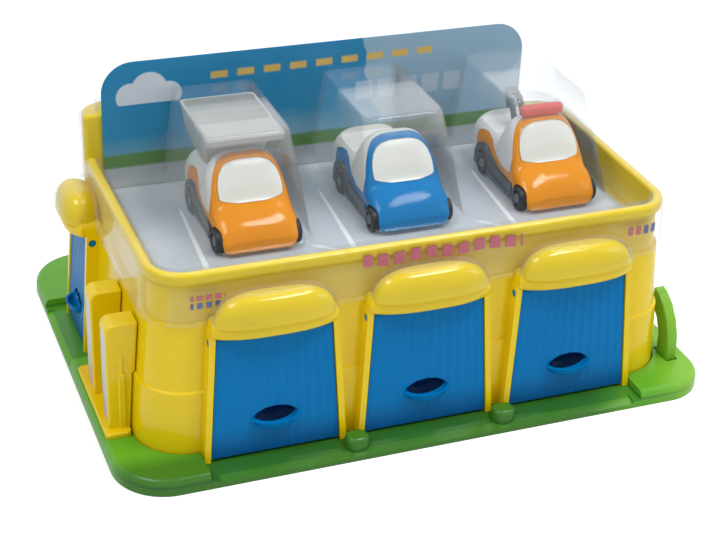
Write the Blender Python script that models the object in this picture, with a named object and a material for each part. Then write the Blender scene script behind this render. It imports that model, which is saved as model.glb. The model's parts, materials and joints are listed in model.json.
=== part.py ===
# Toy garage with a roof-top car park: green base, yellow body, four flap doors, petrol pumps,
# printed cards, a clear formed cover and three small cars under its domes.
# Metres, +Z up, the front with three doors faces -Y. Garage coordinates have the tray centre at
# x = y = 0, and the last lines move everything so that the base is centred on the origin.
import math

import bmesh
import bpy
from mathutils import Matrix, Vector

GAP = 0.0003

# Height of the door tops, from which the levels above them follow
DOOR_TOP_Z = 0.0924

# Tray and walls
RIM_HALF_X = 0.180
RIM_FRONT = 0.09065
RIM_BACK = 0.0930
CORNER_R = 0.0255
BODY_BACK = 0.1080
BODY_FOOT = 0.0068
WALL = 0.0025
WALL_FOOT = 0.0080
STEP_Z = 0.0546
BAND_Z = STEP_Z + 0.0010
WALL_TOP = DOOR_TOP_Z + 0.0088
NECK_Z = WALL_TOP + 0.0006
DECK_TOP = WALL_TOP + 0.0100
DECK_THICK = 0.0025
LEDGE_Z = DECK_TOP + 0.0068
RIM_TOP = DECK_TOP + 0.0258
RIM_LEFT_BACK_R = 0.0121

# Raised wall behind the card
PARAPET_X = (-0.180, 0.140)
PARAPET_FRONT = 0.0832
PARAPET_TOP = RIM_TOP + 0.0310
PARAPET_FRONT_R = 0.0030
PARAPET_BACK_R = 0.0185

# Base
BASE_SIDE = 0.0280
BASE_HALF_X = RIM_HALF_X + BASE_SIDE
BASE_FRONT = 0.1235
BASE_BACK = 0.1805
PAD_TOP = 0.012
DRIVE_TOP = 0.0065
FLOOR = 0.0025
FRONT_DRIVE_HALF = 0.1523
SIDE_DRIVE = (0.032, 0.115)
BASE_R = 0.030
BASE_LEFT_R = 0.036
BOLLARD_TOP = 0.0148
CUT_TOP = 0.020

# Doors
DOOR_TOP_HALF = 0.038
DOOR_BOTTOM_HALF = 0.0431
POST_WIDTH = 0.0176
DOOR_PITCH = 2 * DOOR_BOTTOM_HALF + POST_WIDTH
SIDE_TOP_HALF = 0.022
SIDE_BOTTOM_HALF = 0.0250
SIDE_DOOR_Y = 0.0745
DOOR_BOTTOM_Z = 0.0087
DOOR_FACE = 0.0080
DOOR_LEAN = 0.0058 / (DOOR_TOP_Z - DOOR_BOTTOM_Z)
DOOR_THICK = 0.0024
PIN_Z = DOOR_TOP_Z - 0.0019
BARREL_R = 0.0030
PIN_R = 0.0024
JAMB = 0.0045
HOOD_OVER = 0.0035
HOOD_FOOT = WALL_TOP + 0.0023
HOOD_RISE = 0.0180
HOOD_Y = -0.0082
HOOD_REACH = 0.0105
HOOD_END = 0.0053
LIP_REACH = 0.0170
LIP_TOP = HOOD_FOOT + 0.0017
SIDE_REACH = 1.22
PLANK = 0.0072
HANDLE_Z = 0.0305

# Clip at the right front
CLIP_GAP = 0.0008
CLIP_WIDTH = 0.0080
CLIP_INNER = RIM_HALF_X + WALL_FOOT + CLIP_GAP
CLIP_OUTER = CLIP_INNER + CLIP_WIDTH

# Pumps
PUMP_REACH = 0.0223
PUMP_OUTER = RIM_HALF_X + PUMP_REACH
PUMP_TOP = DOOR_TOP_Z - 0.0009
PUMP_WIDTH = 0.0165
PUMP_Y = (-0.0530, -0.0110)
PLINTH_TOP = 0.0150
PLINTH_LIP = 0.0032
LABEL_FOOT = 0.0193
LABEL_TOP = PUMP_TOP - 0.0083
LABEL_HALF = 0.0057
PLINTH_Y = (-0.0680, 0.0180)

# Cards and cover
CARD_THICK = 0.0006
CARD_X = (-0.1680, 0.1435)
CARD_FRONT = 0.0818
CARD_TOP = DECK_TOP + 0.0933
FILM = 0.0007
FILM_OFF = 0.0022
WEB_Z = DECK_TOP + 0.0088
DOME_TOP = DECK_TOP + 0.0728
DOME_X = (-0.0935, 0.0145, 0.1220)
DOME_LEAN = 0.0020
POCKET_X = (-0.1722, 0.1455)
POCKET_TOP = CARD_TOP + 0.0050
SKIRT_FOOT = WALL_TOP + 0.0008

# Cars
CAR_X = (-0.0927, 0.0142, 0.1225)
CAR_Y = 0.0
TYRE_R = 0.0082
TYRE_WIDTH = 0.0075
TRACK = 0.0256
AXLE_Y = (-0.0250, 0.0330)
AXLE_R = 0.0012

YELLOW = ("yellow plastic", (0.90, 0.60, 0.015), 0.22, 0.0)
GREEN = ("green plastic", (0.16, 0.42, 0.04), 0.28, 0.0)
BLUE = ("blue plastic", (0.0, 0.16, 0.46), 0.3, 0.0)
PRINT = ("printed card", (0.55, 0.57, 0.60), 0.6, 0.0)
SKY = ("printed sky card", (0.01, 0.23, 0.46), 0.55, 0.0)
LABEL = ("pump label", (0.72, 0.30, 0.22), 0.5, 0.0)
CLEAR = ("clear film", (0.93, 0.93, 0.90), 0.08, 0.0)
SLATE = ("slate plastic", (0.035, 0.055, 0.075), 0.35, 0.0)
TYRE = ("dark tyre", (0.015, 0.018, 0.022), 0.5, 0.0)
CREAM = ("cream plastic", (0.80, 0.78, 0.72), 0.3, 0.0)
WHITE = ("white plastic", (0.85, 0.85, 0.85), 0.3, 0.0)
GREY = ("grey plastic", (0.50, 0.50, 0.48), 0.35, 0.0)
ORANGE = ("orange plastic", (0.80, 0.32, 0.02), 0.25, 0.0)
CAR_BLUE = ("car blue plastic", (0.0, 0.24, 0.60), 0.25, 0.0)
RED = ("red plastic", (0.72, 0.04, 0.015), 0.25, 0.0)
STEEL = ("axle steel", (0.55, 0.56, 0.58), 0.3, 1.0)

for old in list(bpy.data.objects):
    bpy.data.objects.remove(old, do_unlink=True)

materials = {}


def material(look):
    name, colour, roughness, metallic = look
    if name not in materials:
        made = bpy.data.materials.new(name)
        made.use_nodes = True
        shader = made.node_tree.nodes["Principled BSDF"]
        shader.inputs["Base Color"].default_value = (*colour, 1)
        shader.inputs["Roughness"].default_value = roughness
        shader.inputs["Metallic"].default_value = metallic
        made.diffuse_color = (*colour, 1)
        materials[name] = made
    return materials[name]


def from_bmesh(name, shape, look=None, smooth=False):
    bmesh.ops.recalc_face_normals(shape, faces=shape.faces)
    mesh = bpy.data.meshes.new(name)
    shape.to_mesh(mesh)
    shape.free()
    made = bpy.data.objects.new(name, mesh)
    bpy.context.collection.objects.link(made)
    if look:
        made.data.materials.append(material(look))
    if smooth:
        for face in mesh.polygons:
            face.use_smooth = True
    return made


def loft(name, rings, look=None, smooth=False, closed=False):
    """Skin over rings with equal point counts: capped at both ends, or joined round when closed."""
    shape = bmesh.new()
    rows = [[shape.verts.new(p) for p in ring] for ring in rings]
    pairs = list(zip(rows, rows[1:]))
    if closed:
        pairs.append((rows[-1], rows[0]))
    for low, high in pairs:
        for i in range(len(low)):
            j = (i + 1) % len(low)
            shape.faces.new((low[i], low[j], high[j], high[i]))
    if not closed:
        shape.faces.new(rows[0][::-1])
        shape.faces.new(rows[-1])
    return from_bmesh(name, shape, look, smooth)


def block(name, low, high, look=None):
    (x0, y0, z0), (x1, y1, z1) = low, high
    plan = [(x0, y0), (x1, y0), (x1, y1), (x0, y1)]
    return loft(name, [[(x, y, z) for x, y in plan] for z in (z0, z1)], look)


def prism(name, outline, start, end, axis="z", look=None):
    """Outline points are (x, y) along z, (x, z) along y, or (y, z) along x."""
    place = {
        "z": lambda a, b, c: (a, b, c),
        "y": lambda a, b, c: (a, c, b),
        "x": lambda a, b, c: (c, a, b),
    }[axis]
    return loft(name, [[place(a, b, c) for a, b in outline] for c in (start, end)], look)


def rounded_rectangle(x0, x1, y0, y1, radius, steps=5):
    """Outline with one radius, or with four in the order right front, right back, left back, left front."""
    radii = radius if isinstance(radius, tuple) else (radius,) * 4
    points = []
    corners = ((x1, y0, -90), (x1, y1, 0), (x0, y1, 90), (x0, y0, 180))
    for (cx, cy, start), r in zip(corners, radii):
        centre_x = cx - math.copysign(r, cx - (x0 + x1) / 2)
        centre_y = cy - math.copysign(r, cy - (y0 + y1) / 2)
        for k in range(steps + 1):
            a = math.radians(start + 90 * k / steps)
            points.append((centre_x + r * math.cos(a), centre_y + r * math.sin(a)))
    return points


def flat_ring(outline, z):
    return [(x, y, z) for x, y in outline]


def rounded_block(name, x, y, z, radius, edge, look=None, steps=4, smooth=False):
    """Block with rounded upright corners and a rounded top edge."""
    rings = []
    for inset, height in ((0, z[0]), (0, z[1] - edge), (0.3 * edge, z[1] - 0.3 * edge), (edge, z[1])):
        outline = rounded_rectangle(
            x[0] + inset, x[1] - inset, y[0] + inset, y[1] - inset, radius - inset, steps
        )
        rings.append(flat_ring(outline, height))
    return loft(name, rings, look, smooth)


def turned(name, profile, axis="x", sides=16, look=None, smooth=True):
    """Solid of revolution: profile points are (radius, distance along the axis)."""
    rings = []
    for radius, along in profile:
        ring = []
        for k in range(sides):
            a = 2 * math.pi * k / sides
            u, v = radius * math.cos(a), radius * math.sin(a)
            ring.append({"x": (along, u, v), "y": (v, along, u), "z": (u, v, along)}[axis])
        rings.append(ring)
    return loft(name, rings, look, smooth)


def move(made, matrix):
    made.data.transform(matrix)
    return made


def apply_modifiers(made):
    graph = bpy.context.evaluated_depsgraph_get()
    graph.update()
    mesh = bpy.data.meshes.new_from_object(made.evaluated_get(graph))
    made.modifiers.clear()
    old = made.data
    made.data = mesh
    bpy.data.meshes.remove(old)
    return made


def combine(made, tools, operation):
    """One Boolean with all the tools, which are removed afterwards."""
    if not tools:
        return made
    group = bpy.data.collections.new("tools")
    for tool in tools:
        group.objects.link(tool)
        if made.data.materials and not tool.data.materials:
            tool.data.materials.append(made.data.materials[0])
    modifier = made.modifiers.new(operation.lower(), "BOOLEAN")
    modifier.operation = operation
    modifier.solver = "EXACT"
    modifier.operand_type = "COLLECTION"
    modifier.collection = group
    bpy.context.view_layer.update()
    apply_modifiers(made)
    for tool in tools:
        bpy.data.objects.remove(tool, do_unlink=True)
    bpy.data.collections.remove(group)
    return made


def cut(made, *tools):
    return combine(made, list(tools), "DIFFERENCE")


def join(made, *tools):
    return combine(made, list(tools), "UNION")


def keep(made, tool):
    return combine(made, [tool], "INTERSECT")


def set_origin(made, point):
    point = Vector(point)
    made.data.transform(Matrix.Translation(-point))
    made.location = point
    return made


def soften(made, angle=32):
    """Smooth shading with sharp edges kept where faces meet at more than the angle."""
    made.data.shade_smooth()
    made.data.set_sharp_from_angle(angle=math.radians(angle))
    return made


def flare(z):
    """How far the wall stands outside the rim line at a height."""
    levels = (
        (0.0, WALL_FOOT),
        (STEP_Z, 0.0050),
        (BAND_Z, 0.0033),
        (WALL_TOP, -0.0001),
        (NECK_Z, -0.0026),
        (NECK_Z + 0.0242, -0.0034),
        (1.0, -0.0034),
    )
    for (z0, e0), (z1, e1) in zip(levels, levels[1:]):
        if z <= z1:
            return e0 + (e1 - e0) * (z - z0) / (z1 - z0)
    return levels[-1][1]


def wall_ring(offset, z, back, left_back_radius=CORNER_R):
    radius = CORNER_R + offset
    outline = rounded_rectangle(
        -RIM_HALF_X - offset,
        RIM_HALF_X + offset,
        -RIM_FRONT - offset,
        back + offset,
        (radius, radius, left_back_radius + offset, radius),
        4,
    )
    return flat_ring(outline, z)


def parapet_plan(grow, front):
    near = PARAPET_FRONT_R
    far = PARAPET_BACK_R + grow
    return rounded_rectangle(
        PARAPET_X[0] - grow,
        PARAPET_X[1] + grow,
        front,
        BODY_BACK - 0.0004 + grow,
        (near, far, far, near),
        4,
    )


# Front bays stand at y = -RIM_FRONT and the side bay at x = -RIM_HALF_X. Bay coordinates have the
# rim line at y = 0, outward along -Y, and the bay centre at x = 0.
FRONT_BAY = (DOOR_TOP_HALF, DOOR_BOTTOM_HALF, 1.0)
BAYS = (
    ("front_door_1", Matrix.Translation((-DOOR_PITCH, -RIM_FRONT, 0)), *FRONT_BAY),
    ("front_door_2", Matrix.Translation((0, -RIM_FRONT, 0)), *FRONT_BAY),
    ("front_door_3", Matrix.Translation((DOOR_PITCH, -RIM_FRONT, 0)), *FRONT_BAY),
    (
        "side_door",
        Matrix.Translation((-RIM_HALF_X, SIDE_DOOR_Y, 0)) @ Matrix.Rotation(-math.pi / 2, 4, "Z"),
        SIDE_TOP_HALF,
        SIDE_BOTTOM_HALF,
        SIDE_REACH,
    ),
)
PIN_Y = -(DOOR_FACE + (DOOR_TOP_Z - PIN_Z) * DOOR_LEAN) + BARREL_R


def door_face(z):
    return -DOOR_FACE - (DOOR_TOP_Z - z) * DOOR_LEAN


def door_half(z, top_half, bottom_half):
    share = (DOOR_TOP_Z - z) / (DOOR_TOP_Z - DOOR_BOTTOM_Z)
    return top_half + (bottom_half - top_half) * share


def leaning_block(name, half, depth, z, top_half, bottom_half):
    """Trapezoid block: half is added to the door's half width, depth is (front, back) behind its face.
    A back given as None is a vertical plane inside the wall."""
    rings = []
    for height in z:
        w = door_half(height, top_half, bottom_half) + half
        front = door_face(height) + depth[0]
        back = depth[2] if depth[1] is None else door_face(height) + depth[1]
        rings.append([(-w, front, height), (w, front, height), (w, back, height), (-w, back, height)])
    return loft(name, rings)


def hood_lip(name, half, reach):
    rings = []
    corner = -0.0100 * reach
    bow = -(LIP_REACH - 0.0100) * reach
    for inset, z in (
        (0.0014, LIP_TOP - 0.0106),
        (0.0, LIP_TOP - 0.0090),
        (0.0, LIP_TOP - 0.0026),
        (0.0030, LIP_TOP),
    ):
        w = half - inset
        outline = [(-w, 0.0012)]
        steps = 8
        for k in range(steps + 1):
            t = -1 + 2 * k / steps
            outline.append((t * w, corner + bow * (1 - abs(t) ** 3) + inset))
        outline.append((w, 0.0012))
        rings.append(flat_ring(outline, z))
    return loft(name, rings)


def pillow(name, half, reach, grow, foot, tail, end=HOOD_END, points=14, rows=3):
    """Puffed hood over a bay, reaching into the wall as far as its end. The tail is the share of the
    depth towards the wall that is kept at the top."""
    rings = []
    rise = HOOD_RISE + grow + HOOD_FOOT - foot
    for row in range(rows + 1):
        a = 0.5 * math.pi * row / rows
        scale = max(max(math.cos(a), 0.0) ** 0.75, 0.10)
        back = (end - HOOD_Y * reach) * (tail + (1 - tail) * scale) + grow
        front = (HOOD_REACH * reach + grow) * scale
        ring = []
        for k in range(points):
            b = 2 * math.pi * k / points
            c, s = math.cos(b), math.sin(b)
            x = math.copysign(abs(c) ** 0.72, c) * (half + grow) * (0.35 + 0.65 * scale)
            y = math.copysign(abs(s) ** 0.9, s) * (front if s < 0 else back)
            ring.append((x, HOOD_Y * reach + y, foot + rise * math.sin(a)))
        rings.append(ring)
    return loft(name, rings)


def bay_adders(matrix, top_half, bottom_half, reach):
    hood_half = top_half + HOOD_OVER
    adders = [
        leaning_block("frame", JAMB, (-0.0010, None, 0.0015), (BODY_FOOT, WALL_TOP - 0.0002), top_half, bottom_half),
        hood_lip("lip", hood_half, reach),
        pillow("pillow", hood_half - 0.002, reach, 0.0, HOOD_FOOT, 0.25),
    ]
    return [move(tool, matrix) for tool in adders]


def bay_cutters(matrix, top_half, bottom_half, reach):
    hood_half = top_half + HOOD_OVER
    pin_wall = door_half(PIN_Z, top_half, bottom_half) + JAMB + 0.003
    cutters = [
        leaning_block(
            "rebate", GAP + 0.0001, (-0.010, DOOR_THICK + GAP), (0.001, PIN_Z + 0.0037), top_half, bottom_half
        ),
        leaning_block("doorway", -0.0028, (-0.010, None, 0.016), (0.001, DOOR_TOP_Z - 0.0069), top_half, bottom_half),
        block(
            "barrel room",
            (-top_half - 0.0002, -0.010, PIN_Z - 0.0046),
            (top_half + 0.0002, PIN_Y + BARREL_R + 0.0005, PIN_Z + 0.0036),
        ),
        move(
            turned("pin hole", [(PIN_R + 0.0003, -pin_wall), (PIN_R + 0.0003, pin_wall)], sides=12),
            Matrix.Translation((0, PIN_Y, PIN_Z)),
        ),
        pillow("hollow", hood_half - 0.0020, reach, -0.0023, HOOD_FOOT + 0.0008, 0.25, 0.0093, 10, 2),
    ]
    return [move(tool, matrix) for tool in cutters]


def build_body():
    outer = []
    for z in (BODY_FOOT, STEP_Z, BAND_Z, WALL_TOP, NECK_Z, LEDGE_Z):
        outer.append(wall_ring(flare(z), z, BODY_BACK))
    rim = (
        (-0.0034, LEDGE_Z + 0.0008),
        (-0.0034, RIM_TOP - 0.0108),
        (-0.0004, RIM_TOP - 0.0074),
        (-0.0004, RIM_TOP - 0.0027),
        (-0.0038, RIM_TOP),
        (-0.0070, RIM_TOP - 0.0027),
        (-0.0090, DECK_TOP + 0.0016),
        (-0.0106, DECK_TOP),
    )
    for offset, z in rim:
        outer.append(wall_ring(offset, z, RIM_BACK, RIM_LEFT_BACK_R))
    body = loft("garage_body", outer, YELLOW)
    inner = []
    for z in (-0.002, STEP_Z, BAND_Z + 0.0014, WALL_TOP, DECK_TOP - DECK_THICK):
        thicker = 0.0016 if z >= WALL_TOP else 0.0
        inner.append(wall_ring(flare(max(z, 0.0)) - WALL - thicker, z, BODY_BACK))
    hollow = loft("hollow", inner)
    parapet_rings = []
    for inset, z in (
        (0, LEDGE_Z - 0.0028),
        (0, PARAPET_TOP - 0.0025),
        (0.0009, PARAPET_TOP - 0.0007),
        (0.0026, PARAPET_TOP),
    ):
        parapet_rings.append(flat_ring(parapet_plan(-inset, PARAPET_FRONT + inset), z))
    parapet = loft("parapet", parapet_rings)
    parapet_hollow = prism(
        "parapet hollow",
        parapet_plan(-0.0036, PARAPET_FRONT + WALL),
        DECK_TOP - 0.0212,
        PARAPET_TOP - WALL,
    )
    join(body, parapet)
    adders = []
    cutters = []
    for _, *bay in BAYS:
        adders += bay_adders(*bay)
        cutters += bay_cutters(*bay)
    for tool in adders:
        join(body, tool)
    cut(body, hollow)
    cut(body, parapet_hollow)
    for side in (-1, 1):
        x = side * DOOR_PITCH / 2
        outline = [(0.050, DECK_TOP - 0.0012), (0.050, BODY_FOOT)]
        for z in (BODY_FOOT, STEP_Z, BAND_Z, WALL_TOP - 0.0032):
            outline.append((-RIM_FRONT - flare(z) + 0.0012, z))
        outline += [(-RIM_FRONT + 0.0050, NECK_Z + 0.0002), (-RIM_FRONT + 0.0050, DECK_TOP - 0.0012)]
        join(body, prism("partition", outline, x - 0.001, x + 0.001, "x"))
    for tool in cutters:
        cut(body, tool)
    return soften(body)


def build_base():
    rings = []
    for inset, z in ((0.0006, 0.0), (0.0, 0.0010), (0.0004, 0.0080), (0.0016, 0.0108), (0.0040, PAD_TOP)):
        radius = BASE_R - inset
        ring = rounded_rectangle(
            -BASE_HALF_X + inset,
            BASE_HALF_X - inset,
            -BASE_FRONT + inset,
            BASE_BACK - inset,
            (radius, radius, BASE_LEFT_R - inset, BASE_LEFT_R - inset),
            5,
        )
        rings.append(flat_ring(ring, z))
    base = loft("base_plate", rings, GREEN)
    seat = loft(
        "seat",
        [wall_ring(WALL_FOOT + GAP, z, BODY_BACK) for z in (DRIVE_TOP, CUT_TOP)],
    )
    half = FRONT_DRIVE_HALF
    front_drive = prism(
        "front drive",
        rounded_rectangle(-half, half, -BASE_FRONT - 0.0365, -RIM_FRONT + 0.0106, 0.006, 3),
        DRIVE_TOP,
        CUT_TOP,
    )
    ramp = prism(
        "ramp",
        [
            (-BASE_FRONT + 0.0095, DRIVE_TOP),
            (-BASE_FRONT - 0.0065, 0.0018),
            (-BASE_FRONT - 0.0165, 0.0018),
            (-BASE_FRONT - 0.0165, CUT_TOP),
            (-BASE_FRONT + 0.0095, CUT_TOP),
        ],
        -half + 0.006,
        half - 0.006,
        "x",
    )
    side_drive = prism(
        "side drive",
        rounded_rectangle(-BASE_HALF_X - 0.020, -RIM_HALF_X + 0.010, SIDE_DRIVE[0], SIDE_DRIVE[1], 0.006, 3),
        DRIVE_TOP,
        CUT_TOP,
    )
    side_ramp = prism(
        "side ramp",
        [
            (-BASE_HALF_X + 0.0070, DRIVE_TOP),
            (-BASE_HALF_X - 0.0045, 0.0028),
            (-BASE_HALF_X - 0.0150, 0.0028),
            (-BASE_HALF_X - 0.0150, CUT_TOP),
            (-BASE_HALF_X + 0.0070, CUT_TOP),
        ],
        SIDE_DRIVE[0] + 0.006,
        SIDE_DRIVE[1] - 0.006,
        "y",
    )
    pump_seat = prism(
        "pump seat",
        rounded_rectangle(
            -PUMP_OUTER - PLINTH_LIP - 0.0010, -RIM_HALF_X, PLINTH_Y[0] - 0.0006, PLINTH_Y[1] + 0.0006, 0.005, 4
        ),
        PAD_TOP - 0.0010,
        CUT_TOP,
    )
    clip_seat = block("clip seat", (CLIP_INNER - 0.0006, -0.0935, 0.0098), (CLIP_OUTER + 0.0007, -0.0740, CUT_TOP))
    for tool in (seat, front_drive, ramp, side_drive, side_ramp, pump_seat, clip_seat):
        cut(base, tool)
    end_x = BASE_HALF_X - 0.0030
    columns = (-end_x, -0.1300, -0.0530, 0.0530, 0.1300, end_x)
    rows = (-BASE_FRONT + 0.0030, -0.0600, 0.0, 0.0600, 0.1200, BASE_BACK - 0.0030)
    rib = 0.0012
    pockets = []
    for i, (x0, x1) in enumerate(zip(columns, columns[1:])):
        for j, (y0, y1) in enumerate(zip(rows, rows[1:])):
            corner = i in (0, len(columns) - 2) and j in (0, len(rows) - 2)
            shrink = 0.0085 if corner else 0.0
            low_x = x0 + rib + (shrink if i == 0 else 0)
            high_x = x1 - rib - (shrink if i == len(columns) - 2 else 0)
            low_y = y0 + rib + (shrink if j == 0 else 0)
            high_y = y1 - rib - (shrink if j == len(rows) - 2 else 0)
            if j == 0:
                low_y += 0.0080
            if i == 0:
                low_x += 0.0040
            pockets.append(block("pocket", (low_x, low_y, -0.002), (high_x, high_y, DRIVE_TOP - FLOOR)))
    cut(base, *pockets)
    for side in (-1, 1):
        x = side * DOOR_PITCH / 2
        bollard = rounded_block(
            "bollard",
            (x - 0.0080, x + 0.0080),
            (-BASE_FRONT + 0.0030, -BASE_FRONT + 0.0165),
            (0.0040, BOLLARD_TOP),
            0.0064,
            0.0030,
            steps=3,
        )
        join(base, bollard)
    return soften(base)


def build_clip():
    profile = [
        (-0.0640, 0.0562),
        (-0.0705, 0.0545),
        (-0.0790, 0.0490),
        (-0.0860, 0.0400),
        (-0.0905, 0.0290),
        (-0.0915, 0.0200),
        (-0.0915, 0.0102),
        (-0.0775, 0.0102),
        (-0.0770, 0.0260),
        (-0.0720, 0.0360),
        (-0.0640, 0.0430),
    ]
    clip = prism("side_clip", profile, CLIP_INNER, CLIP_OUTER, "x", GREEN)
    bevel = clip.modifiers.new("edge", "BEVEL")
    bevel.width = 0.0010
    bevel.segments = 1
    bevel.limit_method = "ANGLE"
    bevel.angle_limit = math.radians(60)
    apply_modifiers(clip)
    return soften(clip)


def pump_profile(back_gap):
    """Pump cross-section in x and z, its back following the wall."""
    outline = [(-PUMP_OUTER, PAD_TOP), (-PUMP_OUTER, PUMP_TOP - 0.0060)]
    for k in range(1, 4):
        a = math.radians(180 - 90 * k / 3)
        outline.append(
            (-PUMP_OUTER + 0.006 + 0.006 * math.cos(a), PUMP_TOP - 0.006 + 0.006 * math.sin(a))
        )
    for z in (PUMP_TOP, BAND_Z + 0.0004, STEP_Z + 0.0001, PAD_TOP):
        outline.append((-RIM_HALF_X - flare(z) - back_gap, z))
    return outline


def build_pumps():
    plinth = rounded_block(
        "pump_island",
        (-PUMP_OUTER - PLINTH_LIP, -RIM_HALF_X - WALL_FOOT - 0.0005),
        PLINTH_Y,
        (PAD_TOP - 0.0007, PLINTH_TOP),
        0.0040,
        0.0010,
        YELLOW,
    )
    for y in PUMP_Y:
        tower = prism("tower", pump_profile(0.0005), y - PUMP_WIDTH / 2, y + PUMP_WIDTH / 2, "y")
        bevel = tower.modifiers.new("edge", "BEVEL")
        bevel.width = 0.0016
        bevel.segments = 1
        bevel.limit_method = "ANGLE"
        bevel.angle_limit = math.radians(50)
        apply_modifiers(tower)
        recess = block(
            "label recess",
            (-PUMP_OUTER - 0.003, y - LABEL_HALF - GAP, LABEL_FOOT - GAP),
            (-PUMP_OUTER + 0.0008, y + LABEL_HALF + GAP, LABEL_TOP + GAP),
        )
        cut(tower, recess)
        join(plinth, tower)
        front = y - PUMP_WIDTH / 2
        rod = rounded_block(
            "nozzle",
            (-PUMP_OUTER + 0.0068, -PUMP_OUTER + 0.0118),
            (-0.0014, 0.0020),
            (0.0140, 0.0560),
            0.0012,
            0.0010,
            steps=1,
        )
        move(rod, Matrix.Translation((0, front, 0)))
        tip = rounded_block(
            "nozzle tip",
            (-PUMP_OUTER + 0.0081, -PUMP_OUTER + 0.0105),
            (-0.0012, 0.0018),
            (0.0540, 0.0680),
            0.0010,
            0.0009,
            steps=1,
        )
        move(tip, Matrix.Translation((0, front, 0)))
        join(plinth, rod)
        join(plinth, tip)
    return soften(plinth)


def build_labels():
    for number, y in enumerate(PUMP_Y, 1):
        outline = rounded_rectangle(y - LABEL_HALF, y + LABEL_HALF, LABEL_FOOT, LABEL_TOP, 0.0012, 2)
        prism(
            f"pump_label_{number}",
            outline,
            -PUMP_OUTER + 0.0001,
            -PUMP_OUTER + 0.0005,
            "x",
            LABEL,
        )


def build_door(name, matrix, top_half, bottom_half, reach):
    clear = GAP + 0.0001
    planks = round(2 * bottom_half / PLANK)
    levels = (DOOR_BOTTOM_Z, PIN_Z)
    rows = []
    for z in levels:
        half = door_half(z, top_half, bottom_half) - clear
        face = door_face(z)
        ring = []
        for k in range(planks):
            left = -half + 2 * half * k / planks
            right = -half + 2 * half * (k + 1) / planks
            ring += [(left, face + (0.0006 if k else 0.0), z), ((left + right) / 2, face, z)]
        ring.append((half, face, z))
        ring += [(half, face + DOOR_THICK, z), (-half, face + DOOR_THICK, z)]
        rows.append(ring)
    door = loft(name, rows, BLUE)
    barrel_half = top_half - clear
    barrel = turned("barrel", [(BARREL_R, -barrel_half), (BARREL_R, barrel_half)], sides=10)
    pin_half = door_half(PIN_Z, top_half, bottom_half) + JAMB - 0.0003
    pin = turned("pin", [(PIN_R, -pin_half), (PIN_R, pin_half)], sides=10)
    for tool in (barrel, pin):
        move(tool, Matrix.Translation((0, PIN_Y, PIN_Z)))
        join(door, tool)
    wide = 0.0165 if top_half > 0.03 else 0.0125
    face = door_face(HANDLE_Z)
    cup_rings = []
    scoop_rings = []
    for drop, grow in ((-0.0080, 0.34), (-0.0050, 0.76), (0.0, 1.0)):
        outer = []
        inner = []
        for k in range(8):
            a = math.pi * k / 7
            x = wide * math.cos(a) * grow
            y = -0.0085 * math.sin(a) * grow
            outer.append((x, face + 0.0004 + y, HANDLE_Z + drop + 0.002))
            inner.append((x * 0.88, face + 0.0003 + y * 0.80, HANDLE_Z + drop + 0.0036))
        for x in (-wide * grow, wide * grow):
            outer.append((x, face + 0.0018, HANDLE_Z + drop + 0.002))
        cup_rings.append(outer)
        scoop_rings.append(inner)
    cup = loft("cup", cup_rings)
    cut(cup, loft("scoop", scoop_rings))
    join(door, cup)
    outline = []
    for k in range(9):
        a = math.pi * k / 8
        outline.append((wide * 0.88 * math.cos(a), HANDLE_Z + 0.0030 + 0.0072 * math.sin(a)))
    cut(door, prism("dish", outline, face - 0.010, face + 0.0015, "y"))
    move(door, matrix)
    set_origin(door, matrix @ Vector((0, PIN_Y, PIN_Z)))
    return soften(door)


def build_cards():
    inset = 0.0106 + GAP + 0.0009
    outline = rounded_rectangle(
        -RIM_HALF_X + inset,
        RIM_HALF_X - inset,
        -RIM_FRONT + inset,
        CARD_FRONT - 0.0006,
        (0.014, 0.014, 0.002, 0.014),
        4,
    )
    z = DECK_TOP + GAP
    prism("deck_card", outline, z, z + CARD_THICK, "z", PRINT)
    x0, x1 = CARD_X
    foot = z + 0.0002
    radius = 0.022
    outline = [(x0, foot), (x1 - 0.004, foot), (x1, foot + 0.004)]
    for cx, start in ((x1 - radius, 0), (x0 + radius, 90)):
        for k in range(6):
            a = math.radians(start + 90 * k / 5)
            outline.append((cx + radius * math.cos(a), CARD_TOP - radius + radius * math.sin(a)))
    prism("back_card", outline, CARD_FRONT, CARD_FRONT + CARD_THICK, "y", SKY)


def dome(centre, inset, top, foot):
    """Drafted dome with a sloping front and rounded upright corners, open into the card pocket."""
    rings = []
    back = CARD_FRONT - inset
    spec = (
        (foot - 0.0008, 0.0350, -0.0412, back, 0.0),
        (foot + 0.0300, 0.0322, -0.0246, back, 0.45),
        (top - 0.0030, 0.0292, -0.0048, back - 0.0030, 0.95),
        (top, 0.0278, -0.0014, back - 0.0062, 1.0),
    )
    for z, half, front, rear, lean in spec:
        middle = centre + DOME_LEAN * lean
        outline = rounded_rectangle(
            middle - half + inset, middle + half - inset, front + inset, rear, 0.0060 - inset, 2
        )
        rings.append(flat_ring(outline, z - (inset if z > foot + 0.001 else 0)))
    return loft("dome", rings)


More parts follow.
